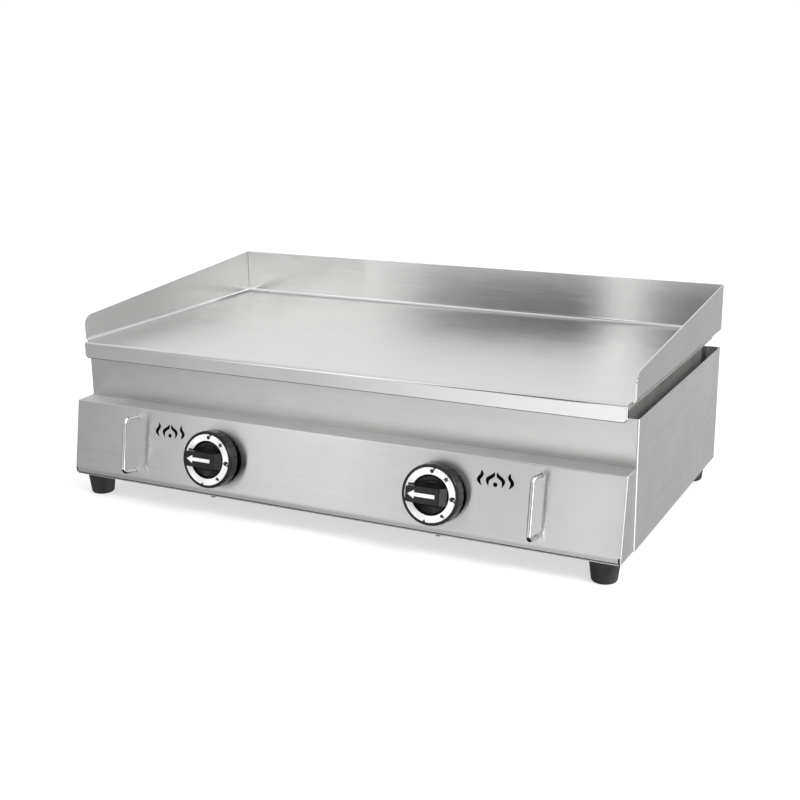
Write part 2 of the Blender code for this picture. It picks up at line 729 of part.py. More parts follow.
def panel_cutters(side):
    """Everything cut through one half of the control panel."""
    deep = 4 * MM
    x = side * KNOB_X
    yield cylinder("spindle_hole", on_panel(x, KNOB_DROP, -deep), on_panel(x, KNOB_DROP, deep),
                   SPINDLE_HOLE, 20)
    x = side * HANDLE_X
    for drop in (HANDLE_TOP, HANDLE_BOTTOM):
        yield cylinder("handle_hole", on_panel(x, drop, -deep), on_panel(x, drop, deep),
                       WIRE_RADIUS + GAP, 12)
    frame = panel_frame(side * FLAME_X, FLAME_DROP)
    for stroke in (OUTER_STROKE, INNER_STROKE):
        loop = flame_stroke(stroke, STROKE_WIDTHS)
        yield outline("flame", loop, 2 * deep, frame)
        mirrored = [(-px, py) for px, py in reversed(loop)]
        yield outline("flame", mirrored, 2 * deep, frame)
    centre = on_panel(side * FLAME_X, FLAME_DROP)
    yield cylinder("dot", centre - PANEL_NORMAL * deep, centre + PANEL_NORMAL * deep, FLAME_DOT, 14)
    x = side * PANEL_SCREWS[1]
    yield cylinder("hole", place(x, PANEL_SCREW_Y, 0), place(x, PANEL_SCREW_Y, 4 * MM),
                   SCREW_RADIUS + GAP, 12)
    outer = PANEL_HALF_WIDTH - SHEET - 0.2 * MM
    low_x, high_x = sorted((side * outer, side * (outer - RELIEF_WIDTH)))
    yield box("relief", (low_x, -PANEL_FOLD_DEPTH - deep, -MM),
              (high_x, -PANEL_TOP_DEPTH, PANEL_FOLD_Z))


# ---------------------------------------------------------------- gas train

def burner(name, side):
    """U-shaped tube burner with an open mouth towards the injector and ports along its top."""
    corners = [
        (KNOB_X, 17 * MM, BURNER_MOUTH_Z),
        (KNOB_X, 58 * MM, BURNER_MOUTH_Z),
        (KNOB_X, 96 * MM, BURNER_Z),
        (BURNER_INNER_X, 132 * MM, BURNER_Z),
        (BURNER_INNER_X, BURNER_BACK, BURNER_Z),
        (BURNER_OUTER_X, BURNER_BACK, BURNER_Z),
        (BURNER_OUTER_X, 70 * MM, BURNER_Z),
    ]
    points = rounded_path([place(side * x, y, z) for x, y, z in corners], 20 * MM, 2)
    body = tube(name, points, BURNER_RADIUS)
    mouth = points[0] + (points[0] - points[1]).normalized() * 2 * MM
    end = points[-1] + (points[-2] - points[-1]).normalized() * 2 * MM
    body = boolean(body, tube("bore", [mouth, *points[1:-1], end], BURNER_RADIUS - BURNER_WALL))
    top = BURNER_Z + BURNER_RADIUS
    for x in (BURNER_INNER_X, BURNER_OUTER_X):
        for i in range(PORT_COUNT):
            y = BURNER_BACK - 40 * MM - i * PORT_PITCH
            body = punch(body, (side * x, y, top), (6 * MM, 1.2 * MM, 4 * MM))
    return finish(body, "plain_steel")


def burner_bracket(name, side):
    """Bent strap that holds up the back of a burner."""
    x = side * STRAP_X - STRAP_HALF_WIDTH
    rise_y = BURNER_BACK - 13 * MM
    foot_z = SHEET + GAP + STRAP_THICK
    top = BURNER_Z - BURNER_RADIUS - GAP
    profile = [place(x, rise_y - 22 * MM, foot_z), place(x, rise_y, foot_z),
               place(x, rise_y, top), place(x, rise_y + 24 * MM, top)]
    strap = folded(name, profile, Vector((2 * STRAP_HALF_WIDTH, 0, 0)), 3 * MM, 2)
    return finish(thicken(strap, STRAP_THICK, side_offset(strap)), "zinc_steel")


def side_offset(obj):
    """Solidify offset that thickens a folded strap downwards."""
    top_face = max(obj.data.polygons, key=lambda p: p.center.z)
    return -1.0 if top_face.normal.z > 0 else 1.0


def axis_point(side, out):
    return on_panel(side * KNOB_X, KNOB_DROP, out)


def valve_body(name, side):
    """Valve housing on the manifold, bored for the plug, with an outlet to the injector."""
    housing = cylinder(name, axis_point(side, VALVE_BACK), axis_point(side, VALVE_FRONT),
                       VALVE_RADIUS)
    x = side * KNOB_X
    saddle_low = MANIFOLD_Z + MANIFOLD_RADIUS + GAP
    saddle = box("saddle", (x - 8 * MM, MANIFOLD_Y - 7 * MM, saddle_low),
                 (x + 8 * MM, MANIFOLD_Y + 7 * MM, 40 * MM))
    housing = boolean(housing, saddle, "UNION")
    outlet = cylinder("outlet", place(x, -6 * MM, BURNER_MOUTH_Z), place(x, 4 * MM, BURNER_MOUTH_Z),
                      6 * MM, 16)
    housing = boolean(housing, outlet, "UNION")
    housing = drill(housing, axis_point(side, PLUG_BACK - 0.5 * MM), axis_point(side, VALVE_FRONT + MM),
                    PLUG_RADIUS + GAP, 24)
    return finish(housing, "brass")


def valve_cap(name, side):
    """Front cap that keeps the spindle's collar in the valve."""
    front = VALVE_FRONT + GAP + CAP_THICK
    cap = cylinder(name, axis_point(side, VALVE_FRONT + GAP), axis_point(side, front),
                   VALVE_RADIUS - MM)
    cap = drill(cap, axis_point(side, VALVE_FRONT - MM), axis_point(side, front + MM),
                SPINDLE_RADIUS + GAP)
    return finish(cap, "zinc_steel")


def d_bar(name, side, radius, flat, start, end):
    """Round bar on a knob's axis with a flat along its upper side."""
    bar = cylinder(name, axis_point(side, start), axis_point(side, end), radius)
    frame = panel_frame(side * KNOB_X, KNOB_DROP)
    loop = [(-radius - MM, flat), (radius + MM, flat), (radius + MM, 3 * radius),
            (-radius - MM, 3 * radius)]
    return boolean(bar, outline("flat", loop, 200 * MM, frame))


def valve_plug(name, side):
    """Plug that turns in the valve, with a D-shaped socket for the spindle."""
    plug = cylinder(name, axis_point(side, PLUG_BACK), axis_point(side, PLUG_FRONT), PLUG_RADIUS)
    socket = d_bar("socket", side, SPINDLE_RADIUS + GAP, SPINDLE_FLAT + GAP,
                   SPINDLE_END - KNOB_PUSH - GAP, PLUG_FRONT + MM)
    return finish(boolean(plug, socket), "brass", axis_point(side, 0))


def valve_spindle(name, side):
    """D-shaped spindle with the collar that the spring pushes against the cap."""
    bar = d_bar(name, side, SPINDLE_RADIUS, SPINDLE_FLAT, SPINDLE_END, KNOB_HUB_TOP - GAP)
    collar = cylinder("collar", axis_point(side, COLLAR_BACK), axis_point(side, COLLAR_FRONT),
                      PLUG_RADIUS - GAP)
    return finish(boolean(bar, collar, "UNION"), "zinc_steel", axis_point(side, 0))


def valve_spring(name, side):
    """Coil spring between the plug and the spindle's collar."""
    low = PLUG_FRONT + GAP + SPRING_WIRE
    high = COLLAR_BACK - GAP - SPRING_WIRE
    frame = panel_frame(side * KNOB_X, KNOB_DROP)
    total = SPRING_TURNS * SPRING_POINTS
    points = []
    for i in range(total + 1):
        angle = math.tau * i / SPRING_POINTS
        local = Vector((SPRING_RADIUS * math.cos(angle), SPRING_RADIUS * math.sin(angle),
                        low + (high - low) * i / total))
        points.append(frame @ local)
    return finish(tube(name, points, SPRING_WIRE, 1), "zinc_steel", axis_point(side, 0))


def injector(name, side):
    """Brass jet: a hexagon on the valve's outlet and a nozzle towards the burner."""

    def along(y):
        return place(side * KNOB_X, y, BURNER_MOUTH_Z)

    start = along(4 * MM + GAP)
    hexagon = cylinder(name, start, along(9 * MM), 5.5 * MM, 6)
    nozzle = cylinder("nozzle", along(8 * MM), along(14 * MM), 3.5 * MM, 16, 2 * MM)
    jet = boolean(hexagon, nozzle, "UNION")
    return finish(drill(jet, along(3 * MM), along(15 * MM), 0.9 * MM, 10), "brass")


def gas_manifold():
    """Pipe along the control box that feeds both valves."""
    start = place(MANIFOLD_LEFT, MANIFOLD_Y, MANIFOLD_Z)
    end = place(MANIFOLD_RIGHT, MANIFOLD_Y, MANIFOLD_Z)
    past = Vector((MM, 0, 0))
    pipe = tube("gas_manifold", [start, end], MANIFOLD_RADIUS, 4)
    bore = tube("bore", [start - past, end + past], MANIFOLD_BORE, 4)
    return finish(boolean(pipe, bore), "zinc_steel")


def manifold_plug():
    """Hexagon plug that closes the pipe's left end."""
    start = place(MANIFOLD_LEFT - GAP, MANIFOLD_Y, MANIFOLD_Z)
    head = cylinder("manifold_plug", start - Vector((6 * MM, 0, 0)), start, 9 * MM, 6)
    shank = cylinder("shank", start - Vector((MM, 0, 0)), start + Vector((8 * MM, 0, 0)),
                     MANIFOLD_BORE - 2 * GAP, 16)
    return finish(boolean(head, shank, "UNION"), "brass")


def gas_feed_pipe():
    """Pipe from the manifold, down beside the firebox and back to the inlet."""
    corners = [
        place(MANIFOLD_RIGHT + GAP, MANIFOLD_Y, MANIFOLD_Z),
        place(FEED_X, MANIFOLD_Y, MANIFOLD_Z),
        place(FEED_X, FEED_BACK, INLET_Z),
        place(INLET_X, FEED_BACK, INLET_Z),
    ]
    return finish(tube("gas_feed_pipe", rounded_path(corners, 14 * MM), FEED_RADIUS), "zinc_steel")


def gas_inlet_nozzle():
    """Brass inlet through the rear panel, with the ridges that a gas hose is clamped on."""
    inner_face = BODY_DEPTH - 2 * SHEET - GAP
    frame = Matrix.Translation(place(INLET_X, inner_face - GAP, INLET_Z)) @ Matrix.Rotation(
        -math.pi / 2, 4, "X")
    profile = [(INLET_BORE, INLET_LENGTH), (INLET_STEM, INLET_LENGTH)]
    for ridge in range(3):
        base = INLET_LENGTH - 5 * MM * (ridge + 1)
        profile += [(INLET_RIDGE, base + 0.8 * MM), (INLET_STEM, base)]
    thread = INLET_THREAD - GAP
    thread_end = 9.5 * MM
    flange = (11 * MM, 1.2 * MM)
    profile += [(INLET_STEM, thread_end), (thread, thread_end), (thread, 0), (flange[0], 0),
                (flange[0], -flange[1]), (INLET_BORE, -flange[1]), (INLET_BORE, INLET_LENGTH)]
    return finish(turned("gas_inlet_nozzle", profile, frame, 12), "brass")


def inlet_lock_nut():
    """Nut that clamps the inlet to the rear panel from outside."""
    start = place(INLET_X, BODY_DEPTH - SHEET, INLET_Z)
    end = start + Vector((0, 5 * MM, 0))
    past = Vector((0, MM, 0))
    nut = cylinder("inlet_lock_nut", start, end, 13 * MM, 6)
    return finish(drill(nut, start - past, end + past, INLET_THREAD + GAP), "brass")


def spark_electrode(name, side):
    """Ceramic igniter with its wire tip bent over the burner's ports."""
    x = side * LEAD_X
    ceramic = cylinder(name, place(x, 60 * MM, LEAD_Z), place(x, 90 * MM, LEAD_Z), 3.5 * MM, 12)
    tip_x = side * (KNOB_X - 30 * MM)
    path = [place(x, 88 * MM, LEAD_Z), place(x, 104 * MM, LEAD_Z),
            place(x, 118 * MM, BURNER_Z + 16 * MM), place(tip_x, 140 * MM, BURNER_Z + 16 * MM)]
    wire = tube("wire", rounded_path(path, 5 * MM, 2), 0.9 * MM, 1)
    return finish(boolean(ceramic, wire, "UNION"), "ceramic")


def ignition_lead(name, side):
    """Insulated lead from the valve's igniter to the electrode."""
    x = side * LEAD_X
    start = place(side * (KNOB_X + 13 * MM), -14 * MM, 47 * MM)
    path = [start, place(side * (KNOB_X + 24 * MM), -14 * MM, 47 * MM), place(x, 10 * MM, LEAD_Z),
            place(x, 60 * MM - GAP, LEAD_Z)]
    return finish(tube(name, rounded_path(path, 6 * MM, 3), 1.5 * MM, 1), "red_silicone")


# ---------------------------------------------------------------- knobs and handles

def knob(name, side):
    """Push-and-turn knob: hollow skirt, recessed middle, seat for the ring and a grip bar."""
    seat = KNOB_FACE - RING_SEAT
    profile = [
        (0, KNOB_BOWL),
        (17 * MM, KNOB_BOWL + 0.6 * MM),
        (RING_INNER - 2 * MM, KNOB_BOWL + 2.6 * MM),
        (RING_INNER - GAP, seat),
        (RING_OUTER + GAP, seat),
        (RING_OUTER + GAP, KNOB_FACE),
        (KNOB_RADIUS - 1.2 * MM, KNOB_FACE),
        (KNOB_RADIUS - 0.4 * MM, KNOB_FACE - 0.8 * MM),
        (KNOB_RADIUS, KNOB_BACK),
        (KNOB_RADIUS - 2 * MM, KNOB_BACK),
        (KNOB_RADIUS - 2.6 * MM, KNOB_BOWL),
        (RING_INNER, KNOB_BOWL - 2 * MM),
        (KNOB_HUB_RADIUS, KNOB_BOWL - 2 * MM),
        (KNOB_HUB_RADIUS, KNOB_BACK),
        (0, KNOB_BACK),
    ]
    frame = panel_frame(side * KNOB_X, KNOB_DROP)
    cap = turned(name, profile, frame, KNOB_STEPS)
    cap = boolean(cap, grip_bar(frame), "UNION")
    cap = boolean(cap, grip_flare(frame), "UNION")
    socket = d_bar("socket", side, SPINDLE_RADIUS + GAP, SPINDLE_FLAT + GAP, KNOB_BACK - MM,
                   KNOB_HUB_TOP)
    return finish(boolean(cap, socket), "black_plastic", axis_point(side, 0))


def grip_bar(frame):
    """Bar that the fingers turn, from the rim on the left to a slope on the right."""
    foot = KNOB_BOWL - MM
    loop = [(GRIP_LEFT, KNOB_FACE - RING_SEAT - 1 * MM), (GRIP_LEFT, GRIP_TOP - 2 * MM),
            (GRIP_LEFT + 1.6 * MM, GRIP_TOP), (GRIP_RIGHT - MM, GRIP_TOP),
            (GRIP_RIGHT + 0.4 * MM, GRIP_TOP - MM),
            (RING_INNER - 1.5 * MM, KNOB_FACE - 2 * MM), (RING_INNER - 3 * MM, foot),
            (-RING_INNER + 3 * MM, foot), (-RING_INNER + 1 * MM, KNOB_FACE - RING_SEAT - 1 * MM)]
    side_on = Matrix(((1, 0, 0), (0, 0, -1), (0, 1, 0))).to_4x4()
    bar = outline("grip_bar", loop, GRIP_WIDTH / GRIP_DRAFT, frame @ side_on)
    inverse = frame.inverted()
    for vert in bar.data.vertices:
        local = inverse @ vert.co
        height = (local.z - foot) / (GRIP_TOP - foot)
        local.y *= 1 - (1 - GRIP_DRAFT) * height
        vert.co = frame @ local
    return bar


def grip_flare(frame):
    """Sloping sides that spread the grip bar out towards the bowl's floor."""
    start, end = FLARE_ENDS
    foot = KNOB_BOWL - MM
    top = KNOB_FACE + 3 * MM
    loop = [(-FLARE_FOOT, foot), (FLARE_FOOT, foot), (FLARE_TOP, top), (-FLARE_TOP, top)]
    end_on = Matrix(((0, 0, 1), (1, 0, 0), (0, 1, 0))).to_4x4()
    middle = Matrix.Translation(((start + end) / 2, 0, 0))
    return outline("grip_flare", loop, end - start, frame @ middle @ end_on)


def dial_ring(name, side):
    """White ring set into the knob's face, notched for the grip bar."""
    low = KNOB_FACE - RING_SEAT + GAP
    high = KNOB_FACE - 0.1 * MM
    ring = cylinder(name, axis_point(side, low), axis_point(side, high), RING_OUTER, KNOB_STEPS)
    ring = drill(ring, axis_point(side, low - MM), axis_point(side, high + MM), RING_INNER, KNOB_STEPS)
    half = GRIP_WIDTH / GRIP_DRAFT / 2 + GAP
    end = GRIP_LEFT - GAP
    loop = [(end, -half), (0, -half), (0, half), (end, half)]
    frame = panel_frame(side * KNOB_X, KNOB_DROP)
    ring = boolean(ring, outline("grip_gap", loop, 80 * MM, frame))
    return finish(ring, "white_print", axis_point(side, 0))


def handle(name, side):
    """Bent wire handle whose ends pass through the panel."""
    x = side * HANDLE_X
    inside = -9 * MM
    corners = [on_panel(x, HANDLE_TOP, inside), on_panel(x, HANDLE_TOP, HANDLE_REACH),
               on_panel(x, HANDLE_BOTTOM, HANDLE_REACH), on_panel(x, HANDLE_BOTTOM, inside)]
    return finish(tube(name, rounded_path(corners, 7 * MM, 5), WIRE_RADIUS, 3), "polished_steel")


def handle_nut(name, side, drop):
    """Nut on a handle's threaded end, behind the panel."""
    x = side * HANDLE_X
    front = -SHEET - GAP
    back = front - 4 * MM
    nut = cylinder(name, on_panel(x, drop, back), on_panel(x, drop, front), 5 * MM, 6)
    nut = drill(nut, on_panel(x, drop, back - MM), on_panel(x, drop, front + MM), WIRE_RADIUS + GAP, 12)
    return finish(nut, "zinc_steel")


# ---------------------------------------------------------------- feet and screws

def foot(name, x, y):
    """Tapered rubber foot with a recess for its screw."""
    frame = Matrix.Translation(place(x, y, -FOOT_HEIGHT))
    top = FOOT_HEIGHT - GAP
    hole = FOOT_SCREW_RADIUS + GAP
    profile = [
        (hole, top),
        (FOOT_TOP_RADIUS - 0.8 * MM, top),
        (FOOT_TOP_RADIUS, top - 1.2 * MM),
        (FOOT_BOTTOM_RADIUS + 0.5 * MM, 4 * MM),
        (FOOT_BOTTOM_RADIUS - 0.8 * MM, 1.4 * MM),
        (FOOT_BOTTOM_RADIUS - 3.2 * MM, 0),
        (FOOT_RECESS_RADIUS, 0),
        (FOOT_RECESS_RADIUS, FOOT_RECESS),
        (hole, FOOT_RECESS),
        (hole, top),
    ]
    return finish(turned(name, profile, frame, 16), "black_rubber")


def pan_screw(name, seat, direction, radius, head_radius, length):
    """Pan-head screw: its head stands on seat and its shank runs along direction."""
    turn = (-direction).to_track_quat("Z", "Y").to_matrix().to_4x4()
    head = 0.55 * head_radius
    profile = [
        (0, head),
        (0.7 * head_radius, head * 0.85),
        (head_radius, head * 0.2),
        (head_radius, 0),
        (radius, 0),
        (radius, -length),
        (0, -length),
    ]
    screw = turned(name, profile, Matrix.Translation(seat) @ turn, 10)
    return finish(screw, "zinc_steel")


def foot_screw(name, x, y):
    seat = place(x, y, FOOT_RECESS - GAP - FOOT_HEIGHT)
    return pan_screw(name, seat, Vector((0, 0, 1)), FOOT_SCREW_RADIUS, FOOT_SCREW_HEAD, 22 * MM)


# ---------------------------------------------------------------- assembly

def build():
    griddle_tray()
    heat_plate()
    body_shell()
    rear_panel()
    base_panel()
    firebox()
    control_panel()
    gas_manifold()
    manifold_plug()
    gas_feed_pipe()
    gas_inlet_nozzle()
    inlet_lock_nut()
    for word, side in SIDES:
        burner(f"burner_{word}", side)
        burner_bracket(f"burner_bracket_{word}", side)
        injector(f"injector_{word}", side)
        valve_body(f"valve_body_{word}", side)
        valve_cap(f"valve_cap_{word}", side)
        valve_plug(f"valve_plug_{word}", side)
        valve_spindle(f"valve_spindle_{word}", side)
        valve_spring(f"valve_spring_{word}", side)
        knob(f"knob_{word}", side)
        dial_ring(f"dial_ring_{word}", side)
        spark_electrode(f"spark_electrode_{word}", side)
        ignition_lead(f"ignition_lead_{word}", side)
        handle(f"handle_{word}", side)
        handle_nut(f"handle_nut_{word}_top", side, HANDLE_TOP)
        handle_nut(f"handle_nut_{word}_bottom", side, HANDLE_BOTTOM)
    for word, (x, y) in FOOT_PLACES.items():
        foot(f"foot_{word}", x, y)
        foot_screw(f"foot_screw_{word}", x, y)
    for number, (x, z) in enumerate(REAR_SCREWS, 1):
        seat = place(x, BODY_DEPTH + GAP, z)
        pan_screw(f"rear_screw_{number}", seat, Vector((0, -1, 0)), SCREW_RADIUS, SCREW_HEAD, 9 * MM)
    for number, x in enumerate(PANEL_SCREWS, 1):
        seat = place(x, PANEL_SCREW_Y, -GAP)
        pan_screw(f"panel_screw_{number}", seat, Vector((0, 0, 1)), SCREW_RADIUS, SCREW_HEAD, 8 * MM)


build()
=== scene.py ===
"""Looks of the flat top gas griddle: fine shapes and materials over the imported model.

Metres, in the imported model's own frame.  Places come from the boxes of its nodes and
from its joints.  BODY points are written from the body shell's corner: X from its middle,
Y back from its front face and Z up from its bottom edge.  PANEL points are written on the
sloped control panel: X, then up its slope from a knob's axis, then out of its face.
"""

import contextlib
import json
import math

import bmesh
import bpy
from mathutils import Matrix, Vector


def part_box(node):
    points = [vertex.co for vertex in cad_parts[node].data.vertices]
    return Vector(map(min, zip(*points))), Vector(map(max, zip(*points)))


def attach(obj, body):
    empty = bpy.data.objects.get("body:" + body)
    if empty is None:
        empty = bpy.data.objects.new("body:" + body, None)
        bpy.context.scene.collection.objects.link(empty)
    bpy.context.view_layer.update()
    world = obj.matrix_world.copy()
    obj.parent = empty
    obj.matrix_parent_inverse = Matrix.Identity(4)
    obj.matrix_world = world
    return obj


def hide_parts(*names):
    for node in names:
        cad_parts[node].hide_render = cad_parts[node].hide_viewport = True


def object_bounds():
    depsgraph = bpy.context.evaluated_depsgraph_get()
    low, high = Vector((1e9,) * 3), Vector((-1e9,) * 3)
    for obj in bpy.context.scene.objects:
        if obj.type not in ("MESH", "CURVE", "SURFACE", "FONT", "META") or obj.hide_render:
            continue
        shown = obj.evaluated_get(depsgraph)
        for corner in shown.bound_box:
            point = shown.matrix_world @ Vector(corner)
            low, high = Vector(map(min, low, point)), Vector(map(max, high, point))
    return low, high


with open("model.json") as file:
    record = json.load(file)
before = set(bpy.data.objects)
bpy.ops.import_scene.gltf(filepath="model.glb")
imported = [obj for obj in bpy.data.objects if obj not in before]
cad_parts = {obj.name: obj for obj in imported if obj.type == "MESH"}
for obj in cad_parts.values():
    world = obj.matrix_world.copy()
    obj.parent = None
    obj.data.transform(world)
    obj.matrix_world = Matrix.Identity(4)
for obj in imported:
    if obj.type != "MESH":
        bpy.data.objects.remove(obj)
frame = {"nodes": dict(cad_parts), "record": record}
CAD_BOUNDS = [list(corner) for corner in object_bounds()]

MM = 0.001
GAP = 0.3 * MM
MERGE = 0.01 * MM
SIDES = (("left", -1), ("right", 1))
ROOT = "frame"

# ---- places from the frame


def box(node):
    """Low and high corner of a CAD node."""
    return [Vector(corner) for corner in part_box(node)]


SHELL_LOW, SHELL_HIGH = box("body_shell")
TRAY_LOW, TRAY_HIGH = box("griddle_tray")
BODY_HALF = SHELL_HIGH.x
BODY_HEIGHT = SHELL_HIGH.z - SHELL_LOW.z
BODY_DEPTH = SHELL_HIGH.y - SHELL_LOW.y
JOINTS = {joint["name"]: joint for joint in frame["record"]["behaviour"]["joints"]}
KNOB_JOINT = JOINTS["knob_right_turn"]
KNOB_CENTRE = Vector(KNOB_JOINT["pos_m"])
PANEL_NORMAL = Vector(KNOB_JOINT["axis"]).normalized()
PANEL_UP = PANEL_NORMAL.cross(Vector((1, 0, 0)))


def place(x, y, z):
    """World point given on the body."""
    return Vector((x, SHELL_LOW.y + y, SHELL_LOW.z + z))


def on_panel(x, up, out=0.0):
    """World point on the control panel."""
    return Vector((x, KNOB_CENTRE.y, KNOB_CENTRE.z)) + PANEL_UP * up + PANEL_NORMAL * out


def panel_frame(x, up=0.0):
    """Frame on the panel: X right, Y up its slope, Z out of its face."""
    axes = Matrix((Vector((1, 0, 0)), PANEL_UP, PANEL_NORMAL)).transposed().to_4x4()
    return Matrix.Translation(on_panel(x, up)) @ axes


# ---- camera, light and floor

CAMERA_PLACE = (712.9 * MM, -1241.2 * MM, 523.2 * MM)
CAMERA_YAW = 26.84        # degrees, to the left of straight back
CAMERA_PITCH = -15.47
CAMERA_ROLL = -0.645
CAMERA_LENS = 56.79       # mm
CAMERA_SENSOR = 36        # mm wide
KEY_PLACE = (1.9, -0.85, 1.5)
KEY_TARGET = (0, 0, 0.1)
KEY_SIZE = (0.8, 0.8)
KEY_POWER = 36            # watts
FLOOR_SIZE = 30.0
FLOOR_GREY = 0.55
FLOOR_ROUGHNESS = 0.9
FLOOR_SHINE = 0.1
FLOOR_GLOW = 0.6
WHITE = (1, 1, 1, 1)


def make_camera():
    """Camera at the viewing angle given above."""
    yaw, pitch, roll = (math.radians(a) for a in (CAMERA_YAW, CAMERA_PITCH, CAMERA_ROLL))
    forward = Vector((-math.sin(yaw) * math.cos(pitch), math.cos(yaw) * math.cos(pitch),
                      math.sin(pitch)))
    level = forward.cross(Vector((0, 0, 1))).normalized()
    upright = level.cross(forward)
    right = level * math.cos(roll) + upright * math.sin(roll)
    up = upright * math.cos(roll) - level * math.sin(roll)
    data = bpy.data.cameras.new("camera")
    data.sensor_width = CAMERA_SENSOR
    data.lens = CAMERA_LENS
    camera = new_object("camera", data)
    axes = Matrix((right, up, -forward)).transposed().to_4x4()
    camera.matrix_world = Matrix.Translation(place(*CAMERA_PLACE)) @ axes
    bpy.context.scene.camera = camera


def new_object(name, data):
    obj = bpy.data.objects.new(name, data)
    bpy.context.scene.collection.objects.link(obj)
    return obj


def mesh_object(bm, name):
    mesh = bpy.data.meshes.new(name)
    bm.to_mesh(mesh)
    bm.free()
    return new_object(name, mesh)


class Nodes:
    """Adds nodes to a tree, each with its inputs given as numbers, colours or sockets."""

    def __init__(self, tree):
        self.tree = tree

    def add(self, kind, inputs=None, output=0, **settings):
        node = self.tree.nodes.new("ShaderNode" + kind)
        for key, value in settings.items():
            setattr(node, key, value)
        for key, value in (inputs or {}).items():
            if isinstance(value, bpy.types.NodeSocket):
                self.tree.links.new(value, node.inputs[key])
            else:
                node.inputs[key].default_value = value
        return node.outputs[output]

    def math(self, operation, *values, clamp=False):
        return self.add("Math", dict(enumerate(values)), operation=operation, use_clamp=clamp)

    def vector(self, operation, *values):
        result = "Value" if operation in ("DOT_PRODUCT", "LENGTH") else 0
        return self.add("VectorMath", dict(enumerate(values)), result, operation=operation)

    def noise(self, vector, scale, detail):
        inputs = {"Vector": vector, "Scale": scale, "Detail": detail,
                  "Roughness": NOISE_ROUGHNESS}
        return self.add("TexNoise", inputs)

    def spread(self, value, low, high, start=0.0, end=1.0):
        """Maps start..end of a value to low..high."""
        return self.add("MapRange", {0: value, 1: start, 2: end, 3: low, 4: high})

    def vary(self, value, amount, span=None):
        """1 give or take an amount, as a noise crosses the span that it mostly keeps to."""
        return self.spread(value, 1 - amount, 1 + amount, *(span or NOISE_SPAN))

    def tint(self, colour, value):
        """Colour times a value."""
        inputs = {"Factor": 1.0, 6: (*colour, 1.0), 7: value}
        return self.add("Mix", inputs, 2, data_type="RGBA", blend_type="MULTIPLY")

    def blend(self, factor, low, high):
        return self.add("Mix", {0: factor, 6: low, 7: high}, 2, data_type="RGBA")


# Brightness of the studio around the griddle, by degrees to the left of straight in front:
# below the level of the griddle, level with it and above it
LOW_SKY = ((-180, 0.51), (-130, 0.51), (-112, 3.20), (-80, 3.20), (-66, 0.30), (-40, 0.30),
           (-8, 1.24), (10, 1.46), (17, 1.36), (24, 1.12), (31, 0.76), (36, 0.66), (46, 0.44),
           (60, 0.20), (100, 0.50), (180, 0.51))
LEVEL_SKY = ((-180, 1.02), (-130, 1.02), (-122, 1.10), (-85, 1.10), (-70, 0.30), (-40, 0.30),
             (-8, 0.60), (13, 0.60), (15.5, 0.78), (18, 0.98), (21, 1.20), (26, 1.16), (28, 0.96),
             (32, 0.94), (36, 0.66), (40, 0.34), (60, 0.15), (100, 0.60), (130, 1.02), (180, 1.02))
HIGH_SKY = ((-180, 1.04), (-165, 1.04), (-152, 0.80), (-132, 0.80), (-122, 1.10), (-85, 1.10),
            (-70, 0.60), (-60, 0.76), (-38.5, 0.78), (-36.8, 2.30), (-31.5, 2.40), (-28.5, 2.30),
            (-25, 2.00), (-21, 0.25), (16.0, 0.10), (16.3, 3.60), (16.8, 3.60), (17.1, 0.10),
            (26.2, 0.10), (27.4, 1.55), (30, 1.45), (33, 1.85), (36, 0.72), (60, 0.25),
            (100, 0.60), (130, 1.04), (180, 1.04))
NADIR_SKY = 0.02
TOP_SKY = 0.95
# Heights of the view direction over which each of the five levels gives way to the next
SKY_STEPS = ((-0.62, -0.42), (-0.16, -0.04), (0.06, 0.13), (0.56, 0.80))


def sky_ramp(n, position, levels):
    """Level that changes with the direction around the griddle."""
    highest = max(level for _, level in levels)
    node = n.tree.nodes.new("ShaderNodeValToRGB")
    n.tree.links.new(position, node.inputs[0])
    elements = node.color_ramp.elements
    while len(elements) < len(levels):
        elements.new(0.5)
    for element, (degrees, level) in zip(elements, levels):
        element.position = (degrees + 180) / 360
        element.color = (*[level / highest] * 3, 1.0)
    return n.math("MULTIPLY", node.outputs[0], highest)


def make_world():
    """Soft studio surround, white to the camera and graded where the steel reflects it."""
    world = bpy.data.worlds.new("studio")
    world.use_nodes = True
    n = Nodes(world.node_tree)
    background = world.node_tree.nodes["Background"]
    background.inputs["Color"].default_value = WHITE
    axes = world.node_tree.nodes.new("ShaderNodeSeparateXYZ")
    world.node_tree.links.new(n.add("TexCoord", output="Generated"), axes.inputs[0])
    x, y, z = axes.outputs
    turn = n.math("ARCTAN2", n.math("MULTIPLY", x, -1.0), n.math("MULTIPLY", y, -1.0))
    around = n.spread(turn, 0.0, 1.0, -math.pi, math.pi)
    level = NADIR_SKY
    above = [sky_ramp(n, around, sky) for sky in (LOW_SKY, LEVEL_SKY, HIGH_SKY)] + [TOP_SKY]
    for (start, end), upper in zip(SKY_STEPS, above):
        level = n.add("Mix", {0: n.spread(z, 0.0, 1.0, start, end), 2: level, 3: upper})
    seen = n.add("LightPath", output="Is Camera Ray")
    level = n.add("Mix", {0: seen, 2: level, 3: 1.0})
    world.node_tree.links.new(level, background.inputs["Strength"])
    bpy.context.scene.world = world
    bpy.context.scene.view_settings.view_transform = "Standard"


def make_key_light():
    """Soft light from high up on the right."""
    data = bpy.data.lights.new("key", "AREA")
    data.shape = "RECTANGLE"
    data.size, data.size_y = KEY_SIZE
    data.energy = KEY_POWER
    light = new_object("key", data)
    light.location = KEY_PLACE
    aim = Vector(KEY_TARGET) - Vector(KEY_PLACE)
    light.rotation_euler = aim.to_track_quat("-Z", "Y").to_euler()


